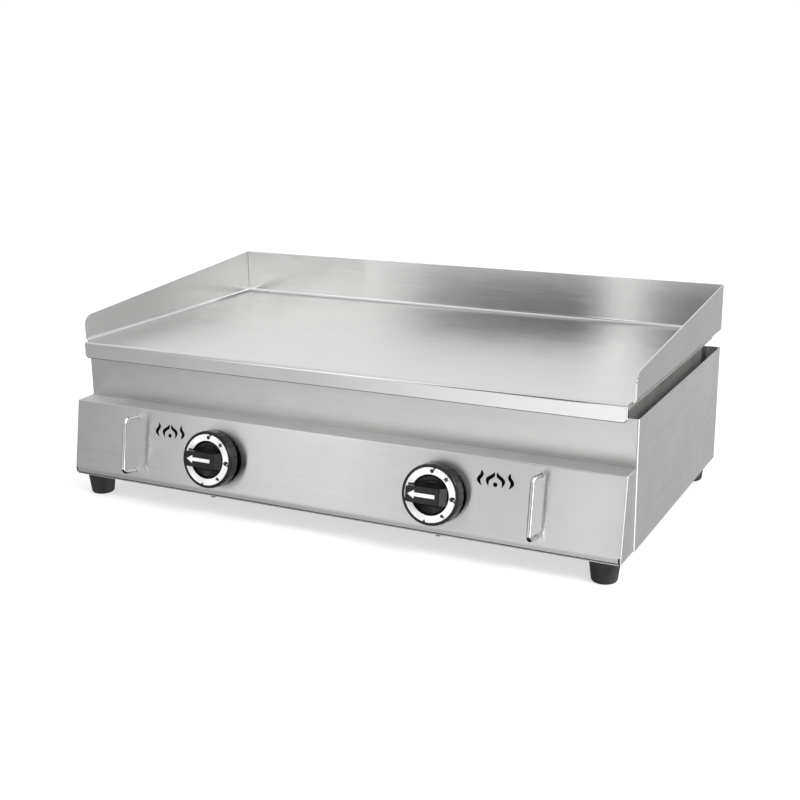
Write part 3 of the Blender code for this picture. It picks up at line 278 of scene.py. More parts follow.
def make_floor():
    """Plain pale floor that lights the griddle softly from below."""
    bm = bmesh.new()
    bmesh.ops.create_grid(bm, x_segments=1, y_segments=1, size=FLOOR_SIZE / 2)
    floor = mesh_object(bm, "floor")
    floor.location.z = CAD_BOUNDS[0][2]
    material = bpy.data.materials.new("floor")
    material.use_nodes = True
    shader = material.node_tree.nodes["Principled BSDF"]
    shader.inputs["Base Color"].default_value = (FLOOR_GREY, FLOOR_GREY, FLOOR_GREY, 1)
    shader.inputs["Roughness"].default_value = FLOOR_ROUGHNESS
    shader.inputs["Specular IOR Level"].default_value = FLOOR_SHINE
    shader.inputs["Emission Color"].default_value = WHITE
    shader.inputs["Emission Strength"].default_value = FLOOR_GLOW
    floor.data.materials.append(material)
    floor.visible_glossy = False


# ---- materials

NOISE_ROUGHNESS = 0.55
NOISE_SPAN = (0.3, 0.7)       # most of a noise's values lie between these
GRAIN_SPAN = (0.25, 0.75)
FINE_GRAIN = 2600.0           # noise scales of brushed steel, per metre
COARSE_GRAIN = 420.0
CLOUD_SCALE = 16.0
SMEAR_SCALE = 60.0
GRAIN_STRETCH = 0.02          # scale along the grain as a part of the scale across it
SMEAR_STRETCH = 0.35
SIDE_FACE = 0.7               # X of the normal of a side wall
FLAT_FACE = (0.85, 0.97)      # Z of the normal of a face that looks up
METAL_BUMP = 0.05 * MM
PLASTIC_BUMP = 0.1 * MM
PATCH_SCALE = 55.0


def new_material(name):
    """A material with its node adder, its shader and the place on the object."""
    material = bpy.data.materials.new(name)
    material.use_nodes = True
    n = Nodes(material.node_tree)
    spot = n.add("TexCoord", output="Object")
    return material, n, material.node_tree.nodes["Principled BSDF"], spot


def wire_up(n, shader, colour, roughness, relief, depth, height):
    """Leads a material's colour, roughness and bump into its shader."""
    bump = n.add("Bump", {"Strength": relief, "Distance": depth, "Height": height})
    for socket, value in (("Base Color", colour), ("Roughness", roughness), ("Normal", bump)):
        n.tree.links.new(value, shader.inputs[socket])


def edge_wear_and_highlight(n, radius, gain):
    """1 along edges and 0 on flats: how far the rounded normal leaves the real one. Steel and
    metal lighten their colour by it, partly as wear and partly as a painted highlight; plastics
    blend their rubbed edges towards dust.
    """
    normal = n.add("NewGeometry", output="Normal")
    rounded = n.add("Bevel", {"Radius": radius}, samples=4)
    agree = n.vector("DOT_PRODUCT", normal, rounded)
    return n.math("MULTIPLY", n.math("SUBTRACT", 1.0, agree), gain, clamp=True)


def steel(name, colour, roughness, streaks, clouds, relief, flat_haze):
    """Brushed sheet: grain along X, or along Y on the side walls.

    Faces that look up are scuffed, so that their roughness is flat_haze more.
    """
    material, n, shader, spot = new_material(name)
    normal = n.add("NewGeometry", output="Normal")
    across = n.add("SeparateXYZ", {0: normal}, "X")
    upward = n.add("SeparateXYZ", {0: normal}, "Z")
    side = n.math("GREATER_THAN", n.math("ABSOLUTE", across), SIDE_FACE)
    flat = n.spread(upward, 0.0, 1.0, *FLAT_FACE)
    lengthwise = n.vector("MULTIPLY", spot, (GRAIN_STRETCH, 1.0, 1.0))
    sideways = n.vector("MULTIPLY", spot, (1.0, GRAIN_STRETCH, 1.0))
    grain = n.add("Mix", {0: side, 4: lengthwise, 5: sideways}, 1, data_type="VECTOR")
    fine = n.noise(grain, FINE_GRAIN, 3.0)
    coarse = n.noise(grain, COARSE_GRAIN, 4.0)
    cloud = n.noise(spot, CLOUD_SCALE, 4.0)
    smear = n.noise(n.vector("MULTIPLY", spot, (SMEAR_STRETCH, 1.0, 1.0)), SMEAR_SCALE, 3.0)
    mixed = n.math("ADD", n.math("MULTIPLY", fine, 0.5), n.math("MULTIPLY", coarse, 0.5))
    wear_and_highlight = edge_wear_and_highlight(n, 1.0 * MM, 1.6)
    shade = n.math("MULTIPLY", n.vary(mixed, streaks, GRAIN_SPAN), n.vary(cloud, clouds))
    shade = n.math("MULTIPLY", shade, n.vary(smear, clouds / 2))
    # edges painted lighter: partly polished wear, partly a painted highlight
    shade = n.math("ADD", shade, n.math("MULTIPLY", wear_and_highlight, 0.25))
    rough = n.spread(mixed, roughness - 0.03, roughness + 0.03, *GRAIN_SPAN)
    rough = n.math("ADD", rough, n.math("MULTIPLY", flat, flat_haze))
    rough = n.math("ADD", rough, n.spread(cloud, -0.007, 0.007, *NOISE_SPAN))
    rough = n.math("SUBTRACT", rough, n.math("MULTIPLY", wear_and_highlight, 0.08))
    wire_up(n, shader, n.tint(colour, shade), rough, relief, METAL_BUMP, mixed)
    tangent = n.add("Mix", {0: side, 4: (1, 0, 0), 5: (0, 1, 0)}, 1, data_type="VECTOR")
    n.tree.links.new(tangent, shader.inputs["Tangent"])
    shader.inputs["Metallic"].default_value = 1.0
    shader.inputs["Anisotropic"].default_value = 1.0
    shader.inputs["Anisotropic Rotation"].default_value = 0.25
    return material


def metal(name, colour, roughness, spots, variation, relief, stain=None, metallic=1.0):
    """Turned, plated or rolled metal: fine and uneven, with paler edges that are partly wear and
    partly a painted highlight.
    """
    material, n, shader, spot = new_material(name)
    small = n.noise(spot, spots * 4, 3.0)
    large = n.noise(spot, spots / 6, 4.0)
    wear_and_highlight = edge_wear_and_highlight(n, 0.5 * MM, 1.5)
    shade = n.math("MULTIPLY", n.vary(small, variation / 2), n.vary(large, variation))
    # edges painted lighter: partly wear, partly a painted highlight
    shade = n.math("ADD", shade, n.math("MULTIPLY", wear_and_highlight, 0.3))
    body = n.tint(colour, shade)
    if stain:
        patches = n.spread(large, 0.0, 0.7, 0.52, 0.72)
        body = n.blend(patches, body, (*stain, 1.0))
    rough = n.spread(large, roughness - 0.06, roughness + 0.08, *NOISE_SPAN)
    wire_up(n, shader, body, rough, relief, METAL_BUMP, small)
    shader.inputs["Metallic"].default_value = metallic
    return material


def moulded(name, colour, roughness, grain, relief, dust, dust_colour=(0.3, 0.3, 0.3),
            wear_and_highlight=0.08, gloss=0.5):
    """Moulded plastic, rubber or ceramic: pebbled, with uneven sheen and a little dust."""
    material, n, shader, spot = new_material(name)
    pebble = n.noise(spot, grain, 2.0)
    patch = n.noise(spot, PATCH_SCALE, 4.0)
    worn = n.math("MULTIPLY", edge_wear_and_highlight(n, 0.6 * MM, 1.2), wear_and_highlight)
    dusty = n.math("MULTIPLY", n.spread(patch, 0.0, 1.0, 0.45, 0.75), dust, clamp=True)
    dusty = n.math("ADD", dusty, worn, clamp=True)
    body = n.blend(dusty, n.tint(colour, n.vary(patch, 0.15)), (*dust_colour, 1.0))
    rough = n.spread(patch, roughness - 0.05, roughness + 0.1, *NOISE_SPAN)
    wire_up(n, shader, body, rough, relief, PLASTIC_BUMP, pebble)
    shader.inputs["Specular IOR Level"].default_value = gloss
    return material


STEEL_GREY = (0.70, 0.70, 0.695)
LOOKS = {
    "tray_steel": (steel, dict(colour=STEEL_GREY, roughness=0.135, streaks=0.045, clouds=0.02,
                               relief=0.06, flat_haze=0.05)),
    "body_steel": (steel, dict(colour=STEEL_GREY, roughness=0.25, streaks=0.06, clouds=0.03,
                               relief=0.08, flat_haze=0.25)),
    "polished_steel": (metal, dict(colour=(0.80, 0.80, 0.80), roughness=0.10, spots=200.0,
                                   variation=0.04, relief=0.03)),
    "plain_steel": (metal, dict(colour=(0.50, 0.50, 0.49), roughness=0.40, spots=220.0,
                                variation=0.18, relief=0.20, stain=(0.30, 0.28, 0.26),
                                metallic=0.7)),
    "zinc_steel": (metal, dict(colour=(0.52, 0.53, 0.54), roughness=0.34, spots=700.0,
                               variation=0.16, relief=0.12)),
    "brass": (metal, dict(colour=(0.72, 0.52, 0.22), roughness=0.28, spots=500.0,
                          variation=0.12, relief=0.10, stain=(0.42, 0.28, 0.12))),
    "knob_plastic": (moulded, dict(colour=(0.008, 0.008, 0.008), roughness=0.18, grain=1600.0,
                                   relief=0.04, dust=0.02, wear_and_highlight=0.01, gloss=0.35)),
    "dial_white": (moulded, dict(colour=(0.90, 0.90, 0.90), roughness=0.38, grain=1800.0,
                                 relief=0.04, dust=0.05, dust_colour=(0.55, 0.55, 0.55))),
    "black_print": (moulded, dict(colour=(0.015, 0.015, 0.015), roughness=0.45, grain=2200.0,
                                  relief=0.05, dust=0.02)),
    "foot_rubber": (moulded, dict(colour=(0.020, 0.020, 0.020), roughness=0.60, grain=1100.0,
                                  relief=0.25, dust=0.12, dust_colour=(0.12, 0.12, 0.12))),
    "ceramic": (moulded, dict(colour=(0.78, 0.76, 0.70), roughness=0.25, grain=900.0,
                              relief=0.05, dust=0.10, dust_colour=(0.45, 0.42, 0.38))),
    "silicone": (moulded, dict(colour=(0.35, 0.03, 0.02), roughness=0.45, grain=1200.0,
                               relief=0.15, dust=0.10, dust_colour=(0.30, 0.16, 0.14))),
}
MADE = {}


def look(name):
    """The material of that name, made the first time it is asked for."""
    if name not in MADE:
        maker, settings = LOOKS[name]
        MADE[name] = maker(name, **settings)
    return MADE[name]


# ---- shape helpers

CUT = 10 * MM                 # how far a cutting tool reaches past what it cuts
PIERCE = 4 * MM               # the same for small holes through one sheet
TALL = 80 * MM                # height of a tool that cuts through a whole knob
FLAT_ENOUGH = math.radians(0.5)
FOLD_ANGLE = 0.05             # radians; anything sharper is a fold


@contextlib.contextmanager
def editing(mesh):
    """The mesh as a bmesh, written back at the end."""
    bm = bmesh.new()
    bm.from_mesh(mesh)
    yield bm
    bm.to_mesh(mesh)
    bm.free()


def baked(obj):
    """The evaluated mesh of obj as a new object in world space; obj is removed."""
    bpy.context.view_layer.update()
    graph = bpy.context.evaluated_depsgraph_get()
    mesh = bpy.data.meshes.new_from_object(obj.evaluated_get(graph))
    mesh.transform(obj.matrix_world)
    name = obj.name
    bpy.data.objects.remove(obj)
    with editing(mesh) as bm:
        bmesh.ops.remove_doubles(bm, verts=bm.verts, dist=MERGE)
    mesh.name = name
    return new_object(name, mesh)


def solid(bm, name):
    """Closed shape with its normals turned outwards."""
    bmesh.ops.recalc_face_normals(bm, faces=bm.faces)
    return mesh_object(bm, name)


def boolean(obj, tool, operation="DIFFERENCE"):
    """The object cut by, joined with or limited to a tool, which is used up."""
    modifier = obj.modifiers.new(operation.lower(), "BOOLEAN")
    modifier.operation = operation
    modifier.object = tool
    shape = baked(obj)
    bpy.data.objects.remove(tool)
    return shape


def thicken(obj, thickness):
    """Gives an open sheet its thickness, inwards from the face that its normals point out of."""
    modifier = obj.modifiers.new("sheet", "SOLIDIFY")
    modifier.thickness = thickness
    modifier.offset = -1.0
    modifier.use_even_offset = True
    return baked(obj)


def body_block(name, low, high):
    """Block between two corners given on the body."""
    low, high = place(*low), place(*high)
    bm = bmesh.new()
    bmesh.ops.create_cube(bm, size=1.0)
    bmesh.ops.scale(bm, vec=high - low, verts=bm.verts)
    bmesh.ops.translate(bm, vec=(low + high) / 2, verts=bm.verts)
    return solid(bm, name)


def rod(name, start, end, radius, segments=48):
    axis = end - start
    bm = bmesh.new()
    bmesh.ops.create_cone(bm, cap_ends=True, segments=segments, radius1=radius, radius2=radius,
                          depth=axis.length)
    turn = axis.to_track_quat("Z", "Y").to_matrix().to_4x4()
    bmesh.ops.transform(bm, matrix=Matrix.Translation((start + end) / 2) @ turn, verts=bm.verts)
    return solid(bm, name)


def turned(name, profile, where, steps):
    """Solid of revolution about Z: profile is (radius, height) down its outer side."""
    mesh = bpy.data.meshes.new(name)
    points = [(radius, 0.0, height) for radius, height in profile]
    mesh.from_pydata(points, [(i, i + 1) for i in range(len(points) - 1)], [])
    obj = new_object(name, mesh)
    obj.matrix_world = where
    screw = obj.modifiers.new("turn", "SCREW")
    screw.axis = "Z"
    screw.angle = math.tau
    screw.steps = steps
    screw.render_steps = steps
    screw.use_merge_vertices = True
    screw.merge_threshold = MERGE
    return baked(obj)


def fillet(before, corner, after, radius, steps):
    """Points of an arc that rounds the corner between two straight runs."""
    to_before = (before - corner).normalized()
    to_after = (after - corner).normalized()
    half = to_before.angle(to_after) / 2
    reach = radius / math.tan(half)
    centre = corner + (to_before + to_after).normalized() * (radius / math.sin(half))
    start = corner + to_before * reach - centre
    end = corner + to_after * reach - centre
    sweep = start.angle(end)
    points = []
    for i in range(steps + 1):
        part = i / steps
        mixed = math.sin((1 - part) * sweep) * start + math.sin(part * sweep) * end
        points.append(centre + mixed / math.sin(sweep))
    return points


def rounded(corners, radius, steps=8):
    """Polyline with every inner corner rounded; radius is one number or one per corner."""
    corners = [Vector(corner) for corner in corners]
    radii = radius if isinstance(radius, (list, tuple)) else [radius] * (len(corners) - 2)
    points = [corners[0]]
    for before, corner, after, r in zip(corners, corners[1:], corners[2:], radii):
        points.extend(fillet(before, corner, after, r, steps) if r else [corner])
    points.append(corners[-1])
    return points


def polyline(name, points, dimensions):
    """Curve data with one spline of straight runs, and that spline."""
    curve = bpy.data.curves.new(name, "CURVE")
    curve.dimensions = dimensions
    spline = curve.splines.new("POLY")
    spline.points.add(len(points) - 1)
    for target, point in zip(spline.points, points):
        target.co = (*point, 1.0)
    return curve, spline


def tube(name, points, radius, resolution):
    curve, _ = polyline(name, points, "3D")
    curve.bevel_depth = radius
    curve.bevel_resolution = resolution
    curve.use_fill_caps = True
    return baked(new_object(name, curve))


def outline(name, loop, thickness, where):
    """Flat outline (2D points) given a thickness either side of its plane."""
    curve, spline = polyline(name, [(x, y, 0.0) for x, y in loop], "2D")
    curve.fill_mode = "BOTH"
    curve.extrude = thickness / 2
    spline.use_cyclic_u = True
    obj = new_object(name, curve)
    obj.matrix_world = where
    return baked(obj)


def move_swept(bm, swept, reach):
    """Moves the new vertices of an extrusion, and returns them."""
    verts = [item for item in swept if isinstance(item, bmesh.types.BMVert)]
    bmesh.ops.translate(bm, vec=reach, verts=verts)
    return verts


def folded(name, profile, sweep, radius, segments=8):
    """Open sheet: a polyline swept along a vector, with rounded folds."""
    bm = bmesh.new()
    line = [bm.verts.new(point) for point in profile]
    edges = [bm.edges.new(pair) for pair in zip(line, line[1:])]
    move_swept(bm, bmesh.ops.extrude_edge_only(bm, edges=edges)["geom"], sweep)
    round_folds(bm, radius, segments)
    return mesh_object(bm, name)


def round_folds(bm, radius, segments):
    folds = [e for e in bm.edges if len(e.link_faces) == 2 and e.calc_face_angle() > FOLD_ANGLE]
    bmesh.ops.bevel(bm, geom=folds, offset=radius, offset_type="OFFSET", segments=segments,
                    profile=0.5, affect="EDGES", clamp_overlap=True)


def add_bevel(obj, width, segments, angle):
    bevel = obj.modifiers.new("edges", "BEVEL")
    bevel.width = width
    bevel.segments = segments
    bevel.limit_method = "ANGLE"
    bevel.angle_limit = math.radians(angle)


def soften(obj, width, segments=2, angle=40):
    """Rounds the sharp edges a little and keeps the flats flat in the light."""
    with editing(obj.data) as bm:
        bmesh.ops.connect_verts_concave(bm, faces=bm.faces)
    if width:
        add_bevel(obj, width, segments, angle)
    obj.data.shade_smooth()
    obj.data.set_sharp_from_angle(angle=math.radians(angle))
    weighted = obj.modifiers.new("normals", "WEIGHTED_NORMAL")
    weighted.mode = "FACE_AREA"
    weighted.keep_sharp = True
    return obj


def piece(obj, nodes, material, body=ROOT):
    """Gives a finished shape its material and its body, and hides the CAD nodes that it stands
    for.
    """
    obj.data.materials.clear()
    obj.data.materials.append(look(material))
    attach(obj, body)
    if nodes:
        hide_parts(*nodes)


def refined(node, material, body=ROOT, width=0.25 * MM, angle=40):
    """A CAD node's own shape with its edges eased and its round faces smooth."""
    mesh = frame["nodes"][node].data.copy()
    mesh.name = node + "_fine"
    with editing(mesh) as bm:
        bmesh.ops.remove_doubles(bm, verts=bm.verts, dist=MERGE)
        bmesh.ops.dissolve_limit(bm, angle_limit=FLAT_ENOUGH, verts=bm.verts, edges=bm.edges)
    obj = new_object(node + "_fine", mesh)
    piece(soften(obj, width, 2, angle), [node], material, body)


# ---- tray

TRAY_SHEET = 1.5 * MM
TRAY_BEND = 6 * MM
TRAY_TOP = 168.7 * MM
GUARD_FRONT_TOP = 200.1 * MM
GUARD_BACK_TOP = TRAY_HIGH.z - SHELL_LOW.z
GUARD_FRONT = -7.1 * MM
GUARD_BACK = TRAY_HIGH.y - SHELL_LOW.y
GUARD_HALF = TRAY_HIGH.x
GUARD_CORNER = 13 * MM
LIP_HALF = 357 * MM
LIP_FRONT = TRAY_LOW.y - SHELL_LOW.y
LIP_BOTTOM = TRAY_LOW.z - SHELL_LOW.z
LIP_BEND = 4.5 * MM
LIP_CORNER = 5 * MM
LIP_OVERLAP = 6 * MM          # how far the lip's sheet runs into the cooking surface
LIP_EDGE = 1.2 * MM           # rounding of the lip's lower edge
TRAY_EDGE = 0.55 * MM         # rounding of the other cut edges
SEAM_WIDTH = 1.3 * MM
SEAM_DEPTH = 1.2 * MM
END_ON = Matrix(((0, 0, 1), (1, 0, 0), (0, 1, 0))).to_4x4()
SIDE_VIEW = Matrix.Translation(place(0, 0, 0)) @ END_ON


def basin(name, inset, radius, front, top):
    """Block with its left, right and back bottom edges rounded, open towards the front."""
    half = GUARD_HALF - inset
    floor_z = TRAY_TOP - TRAY_SHEET + inset
    obj = body_block(name, (-half, front, floor_z), (half, GUARD_BACK - inset, top))
    level = place(0, 0, floor_z).z
    near = place(0, front, 0).y

    def is_bend(edge):
        flat = all(abs(v.co.z - level) < MERGE for v in edge.verts)
        return flat and not all(abs(v.co.y - near) < MERGE for v in edge.verts)

    with editing(obj.data) as bm:
        bends = [edge for edge in bm.edges if is_bend(edge)]
        bmesh.ops.bevel(bm, geom=bends, offset=radius, segments=10, profile=0.5, affect="EDGES")
    return obj


def tray_lip():
    """Front lip: the sheet turns down over the front, with rounded lower corners."""
    profile = [place(-LIP_HALF, GUARD_FRONT + LIP_OVERLAP, TRAY_TOP),
               place(-LIP_HALF, LIP_FRONT, TRAY_TOP), place(-LIP_HALF, LIP_FRONT, LIP_BOTTOM)]
    obj = folded("lip", profile, Vector((2 * LIP_HALF, 0, 0)), LIP_BEND, 10)
    bottom = place(0, 0, LIP_BOTTOM).z
    with editing(obj.data) as bm:
        corners = [v for v in bm.verts if abs(v.co.z - bottom) < MERGE]
        bmesh.ops.bevel(bm, geom=corners, offset=LIP_CORNER, segments=8, profile=0.5,
                        affect="VERTICES")
        for face in bm.faces:
            if face.normal.y > 0.01 or face.normal.z < -0.01:
                face.normal_flip()
    return round_lip_edge(thicken(obj, TRAY_SHEET))


def round_lip_edge(lip):
    """Rounds the lip's lower edge more than the other edges."""
    front = place(0, LIP_FRONT, 0).y

    def is_lower_edge(edge):
        outside = all(abs(v.co.y - front) < MERGE for v in edge.verts)
        return outside and len(edge.link_faces) == 2 and edge.calc_face_angle() > 1.0

    with editing(lip.data) as bm:
        lower = [edge for edge in bm.edges if is_lower_edge(edge)]
        bmesh.ops.bevel(bm, geom=lower, offset=LIP_EDGE, segments=5, profile=0.5, affect="EDGES")
    return lip


def tray():
    """Folded tray: cooking surface, rounded lip and three splash guards."""
    over = GUARD_BACK_TOP + CUT
    obj = basin("tray_fine", 0, TRAY_BEND, GUARD_FRONT, over)
    obj = boolean(obj, basin("hollow", TRAY_SHEET, TRAY_BEND - TRAY_SHEET, GUARD_FRONT - CUT,
                             over + CUT))
    corner = Vector((GUARD_FRONT, GUARD_FRONT_TOP))
    behind = Vector((GUARD_BACK, GUARD_BACK_TOP))
    arc = fillet(Vector((GUARD_FRONT, TRAY_TOP)), corner, behind, GUARD_CORNER, 16)
    slope = (behind.y - corner.y) / (behind.x - corner.x)
    past = 2 * CUT
    loop = [(GUARD_FRONT - past, arc[0].y), *[(p.x, p.y) for p in arc],
            (GUARD_BACK + past, GUARD_BACK_TOP + past * slope), (GUARD_BACK + past, over + past),
            (GUARD_FRONT - past, over + past)]
    obj = boolean(obj, outline("above", loop, 2.2 * BODY_HALF, SIDE_VIEW))
    obj = boolean(obj, tray_lip(), "UNION")
    for _, side in SIDES:
        obj = boolean(obj, corner_seam(side))
    piece(soften(obj, TRAY_EDGE, 3), ["griddle_tray"], "tray_steel")


def corner_seam(side):
    """Narrow groove where a side guard meets the back guard."""
    corner = side * (GUARD_HALF - TRAY_SHEET)
    ends = sorted((corner, corner - side * SEAM_WIDTH))
    deep = GUARD_BACK - TRAY_SHEET + SEAM_DEPTH
    return body_block("seam", (ends[0], GUARD_BACK - 3 * TRAY_SHEET, TRAY_TOP + TRAY_BEND),
                      (ends[1], deep, GUARD_BACK_TOP + MM))


# ---- body shell and control panel

SHEET = 1.2 * MM
FOLD = 2.5 * MM
HEM = 15 * MM
SHELL_EDGE = 0.45 * MM        # rounding of the cut edges
WINDOW_SIDE = 12 * MM         # sheet left beside the window behind the control panel
WINDOW_TOP = 84 * MM
NOTCH_TOP = 34 * MM
SCREW_HOLE = 2 * MM
HOLE_STEPS = 24
SCREW_INSET = 8.5 * MM
SCREW_HEIGHTS = (25 * MM, 125 * MM)


def body_shell():
    """One sheet wrapped round left side, upper front and right side, hemmed at the back."""
    corners = [(BODY_HALF - HEM, BODY_DEPTH), (BODY_HALF, BODY_DEPTH), (BODY_HALF, 0),
               (-BODY_HALF, 0), (-BODY_HALF, BODY_DEPTH), (HEM - BODY_HALF, BODY_DEPTH)]
    profile = [place(x, y, 0) for x, y in corners]
    obj = thicken(folded("body_shell_fine", profile, Vector((0, 0, BODY_HEIGHT)), FOLD), SHEET)
    reach = CUT / 2
    for half, top in ((BODY_HALF - WINDOW_SIDE, WINDOW_TOP), (BODY_HALF - FOLD, NOTCH_TOP)):
        obj = boolean(obj, body_block("window", (-half, -reach, -reach), (half, reach, top)))
    for x in (SCREW_INSET - BODY_HALF, BODY_HALF - SCREW_INSET):
        for z in SCREW_HEIGHTS:
            inner, outer = place(x, BODY_DEPTH - PIERCE, z), place(x, BODY_DEPTH + PIERCE / 2, z)
            obj = boolean(obj, rod("hole", inner, outer, SCREW_HOLE, HOLE_STEPS))
    piece(soften(obj, SHELL_EDGE, 3), ["body_shell"], "body_steel")


PANEL_HALF = 364 * MM
PANEL_TOP = 95.1 * MM
PANEL_TOP_DEPTH = 30 * MM
PANEL_FOLD_Z = 8.8 * MM
PANEL_FOLD_DEPTH = 44.8 * MM
PANEL_STRIP_DEPTH = 44.3 * MM
PANEL_UPSTAND = 3.4 * MM
PANEL_FLANGE = 14 * MM
PANEL_BASE_Z = SHEET + GAP
PANEL_FOLD = 1.6 * MM
PANEL_EDGE = 0.2 * MM         # rounding of the cut edges
FLANGE_INSET = 4 * MM         # how far the flanges stop short of each end
RELIEF_WIDTH = 2 * MM         # slot that parts the bottom strip from the end returns
RELIEF_INSET = 0.2 * MM
SPINDLE_HOLE = 7 * MM
ROUND_STEPS = 32
KNOB_X = 148.5 * MM
KNOB_DROP = 48 * MM
HANDLE_X = 268.8 * MM
HANDLE_TOP = 11.8 * MM
HANDLE_BOTTOM = 79.3 * MM
HANDLE_REACH = 23.75 * MM
HANDLE_BEND = 7 * MM
HANDLE_TAIL = 9 * MM          # length behind the panel's face
WIRE = 2.5 * MM
FLAME_X = 217.5 * MM
FLAME_UP = KNOB_DROP - 29.1 * MM
PANEL_SCREW_X = 152 * MM
PANEL_SCREW_Y = -40.5 * MM

# Centre lines of the two strokes on the right of a flame mark, from its dot, X then up
OUTER_STROKE = ((17.2 * MM, 15.4 * MM), (16.3 * MM, 9.4 * MM), (19.8 * MM, 3.4 * MM),
                (15.6 * MM, -3.8 * MM))
INNER_STROKE = ((1.2 * MM, 14.4 * MM), (3.2 * MM, 9.6 * MM), (9.2 * MM, 4.6 * MM),
                (7.6 * MM, -3.8 * MM))
STROKE_WIDTHS = (0, 2.0 * MM, 2.2 * MM, 0)
FLAME_DOT = 2.6 * MM


def leaf(points, half_widths, steps=28):
    """Leaf-shaped outline: a smooth centre line with a width that fades at both tips."""
    centres = []
    widths = []
    last = len(points) - 1
    for i in range(steps + 1):
        position = i / steps * last
        k = min(int(position), last - 1)
        t = position - k
        around = (points[max(k - 1, 0)], points[k], points[k + 1], points[min(k + 2, last)])
        centres.append(Vector([
            0.5 * (2 * b + (c - a) * t + (2 * a - 5 * b + 4 * c - d) * t ** 2
                   + (3 * b - a - 3 * c + d) * t ** 3)
            for a, b, c, d in zip(*around)
        ]))
        ease = t * t * (3 - 2 * t)
        widths.append(half_widths[k] * (1 - ease) + half_widths[k + 1] * ease)
    right, left = [], []
    for i in range(1, steps):
        along = (centres[i + 1] - centres[i - 1]).normalized()
        across = Vector((along.y, -along.x)) * widths[i]
        right.append(centres[i] + across)
        left.append(centres[i] - across)
    return [centres[0], *right, centres[-1], *reversed(left)]


def panel_sheet():
    """The wedge's open sheet, with rounded folds, a back flange and an upstand."""
    back = -SHEET - GAP
    section = [(back, PANEL_TOP), (-PANEL_TOP_DEPTH, PANEL_TOP), (-PANEL_FOLD_DEPTH, PANEL_FOLD_Z),
               (-PANEL_STRIP_DEPTH, PANEL_BASE_Z), (back, PANEL_BASE_Z)]
    bm = bmesh.new()
    end_face = bm.faces.new([bm.verts.new(place(-PANEL_HALF, y, z)) for y, z in section])
    swept = bmesh.ops.extrude_face_region(bm, geom=[end_face], use_keep_orig=True)["geom"]
    move_swept(bm, swept, (2 * PANEL_HALF, 0, 0))
    bmesh.ops.recalc_face_normals(bm, faces=bm.faces)
    open_faces = [f for f in bm.faces if f.normal.y > 0.9 or f.normal.z < -0.9]
    bmesh.ops.delete(bm, geom=open_faces, context="FACES_KEEP_BOUNDARY")
    add_flange(bm, -PANEL_STRIP_DEPTH, PANEL_BASE_Z, Vector((0, PANEL_FLANGE, 0)))
    add_flange(bm, back, PANEL_TOP, Vector((0, 0, PANEL_UPSTAND)))
    round_folds(bm, PANEL_FOLD, 6)
    bmesh.ops.recalc_face_normals(bm, faces=bm.faces)
    if max(bm.faces, key=lambda f: f.calc_area()).normal.y > 0:
        bmesh.ops.reverse_faces(bm, faces=bm.faces)
    return thicken(mesh_object(bm, "control_panel_fine"), SHEET)


def add_flange(bm, y, z, reach):
    """Turns a flange off the long edge that runs along X at the given place."""
    target = place(0, y, z)

    def is_edge(edge):
        level = all((v.co - target).yz.length < MERGE for v in edge.verts)
        return level and edge.is_boundary

    edges = [edge for edge in bm.edges if is_edge(edge)]
    swept = bmesh.ops.extrude_edge_only(bm, edges=edges)["geom"]
    for vert in move_swept(bm, swept, reach):
        vert.co.x *= 1 - FLANGE_INSET / PANEL_HALF


def panel_hole(name, x, up, radius, steps):
    """Rod that cuts a round hole through the control panel."""
    return rod(name, on_panel(x, up, -PIERCE), on_panel(x, up, PIERCE), radius, steps)


def panel_cutters(side):
    """Everything cut through one half of the control panel."""
    handle_x, flame_x, screw_x = side * HANDLE_X, side * FLAME_X, side * PANEL_SCREW_X
    yield panel_hole("spindle_hole", side * KNOB_X, 0, SPINDLE_HOLE, 48)
    for drop in (HANDLE_TOP, HANDLE_BOTTOM):
        yield panel_hole("handle_hole", handle_x, KNOB_DROP - drop, WIRE + GAP, ROUND_STEPS)
    where = panel_frame(flame_x, FLAME_UP)
    for stroke in (OUTER_STROKE, INNER_STROKE):
        loop = leaf(stroke, STROKE_WIDTHS)
        yield outline("flame", loop, 2 * PIERCE, where)
        yield outline("flame", [(-x, y) for x, y in reversed(loop)], 2 * PIERCE, where)
    yield panel_hole("dot", flame_x, FLAME_UP, FLAME_DOT, ROUND_STEPS)
    low, high = place(screw_x, PANEL_SCREW_Y, 0), place(screw_x, PANEL_SCREW_Y, PIERCE)
    yield rod("hole", low, high, SCREW_HOLE, HOLE_STEPS)
    outer = PANEL_HALF - SHEET - RELIEF_INSET
    ends = sorted((side * outer, side * (outer - RELIEF_WIDTH)))
    yield body_block("relief", (ends[0], -PANEL_FOLD_DEPTH - PIERCE, -MM),
                     (ends[1], -PANEL_TOP_DEPTH, PANEL_FOLD_Z))


def control_panel():
    """Wedge-shaped control box with its holes, flame slots and reliefs."""
    obj = panel_sheet()
    for _, side in SIDES:
        for hole in panel_cutters(side):
            obj = boolean(obj, hole)
    piece(soften(obj, PANEL_EDGE), ["control_panel"], "body_steel")


# ---- knobs

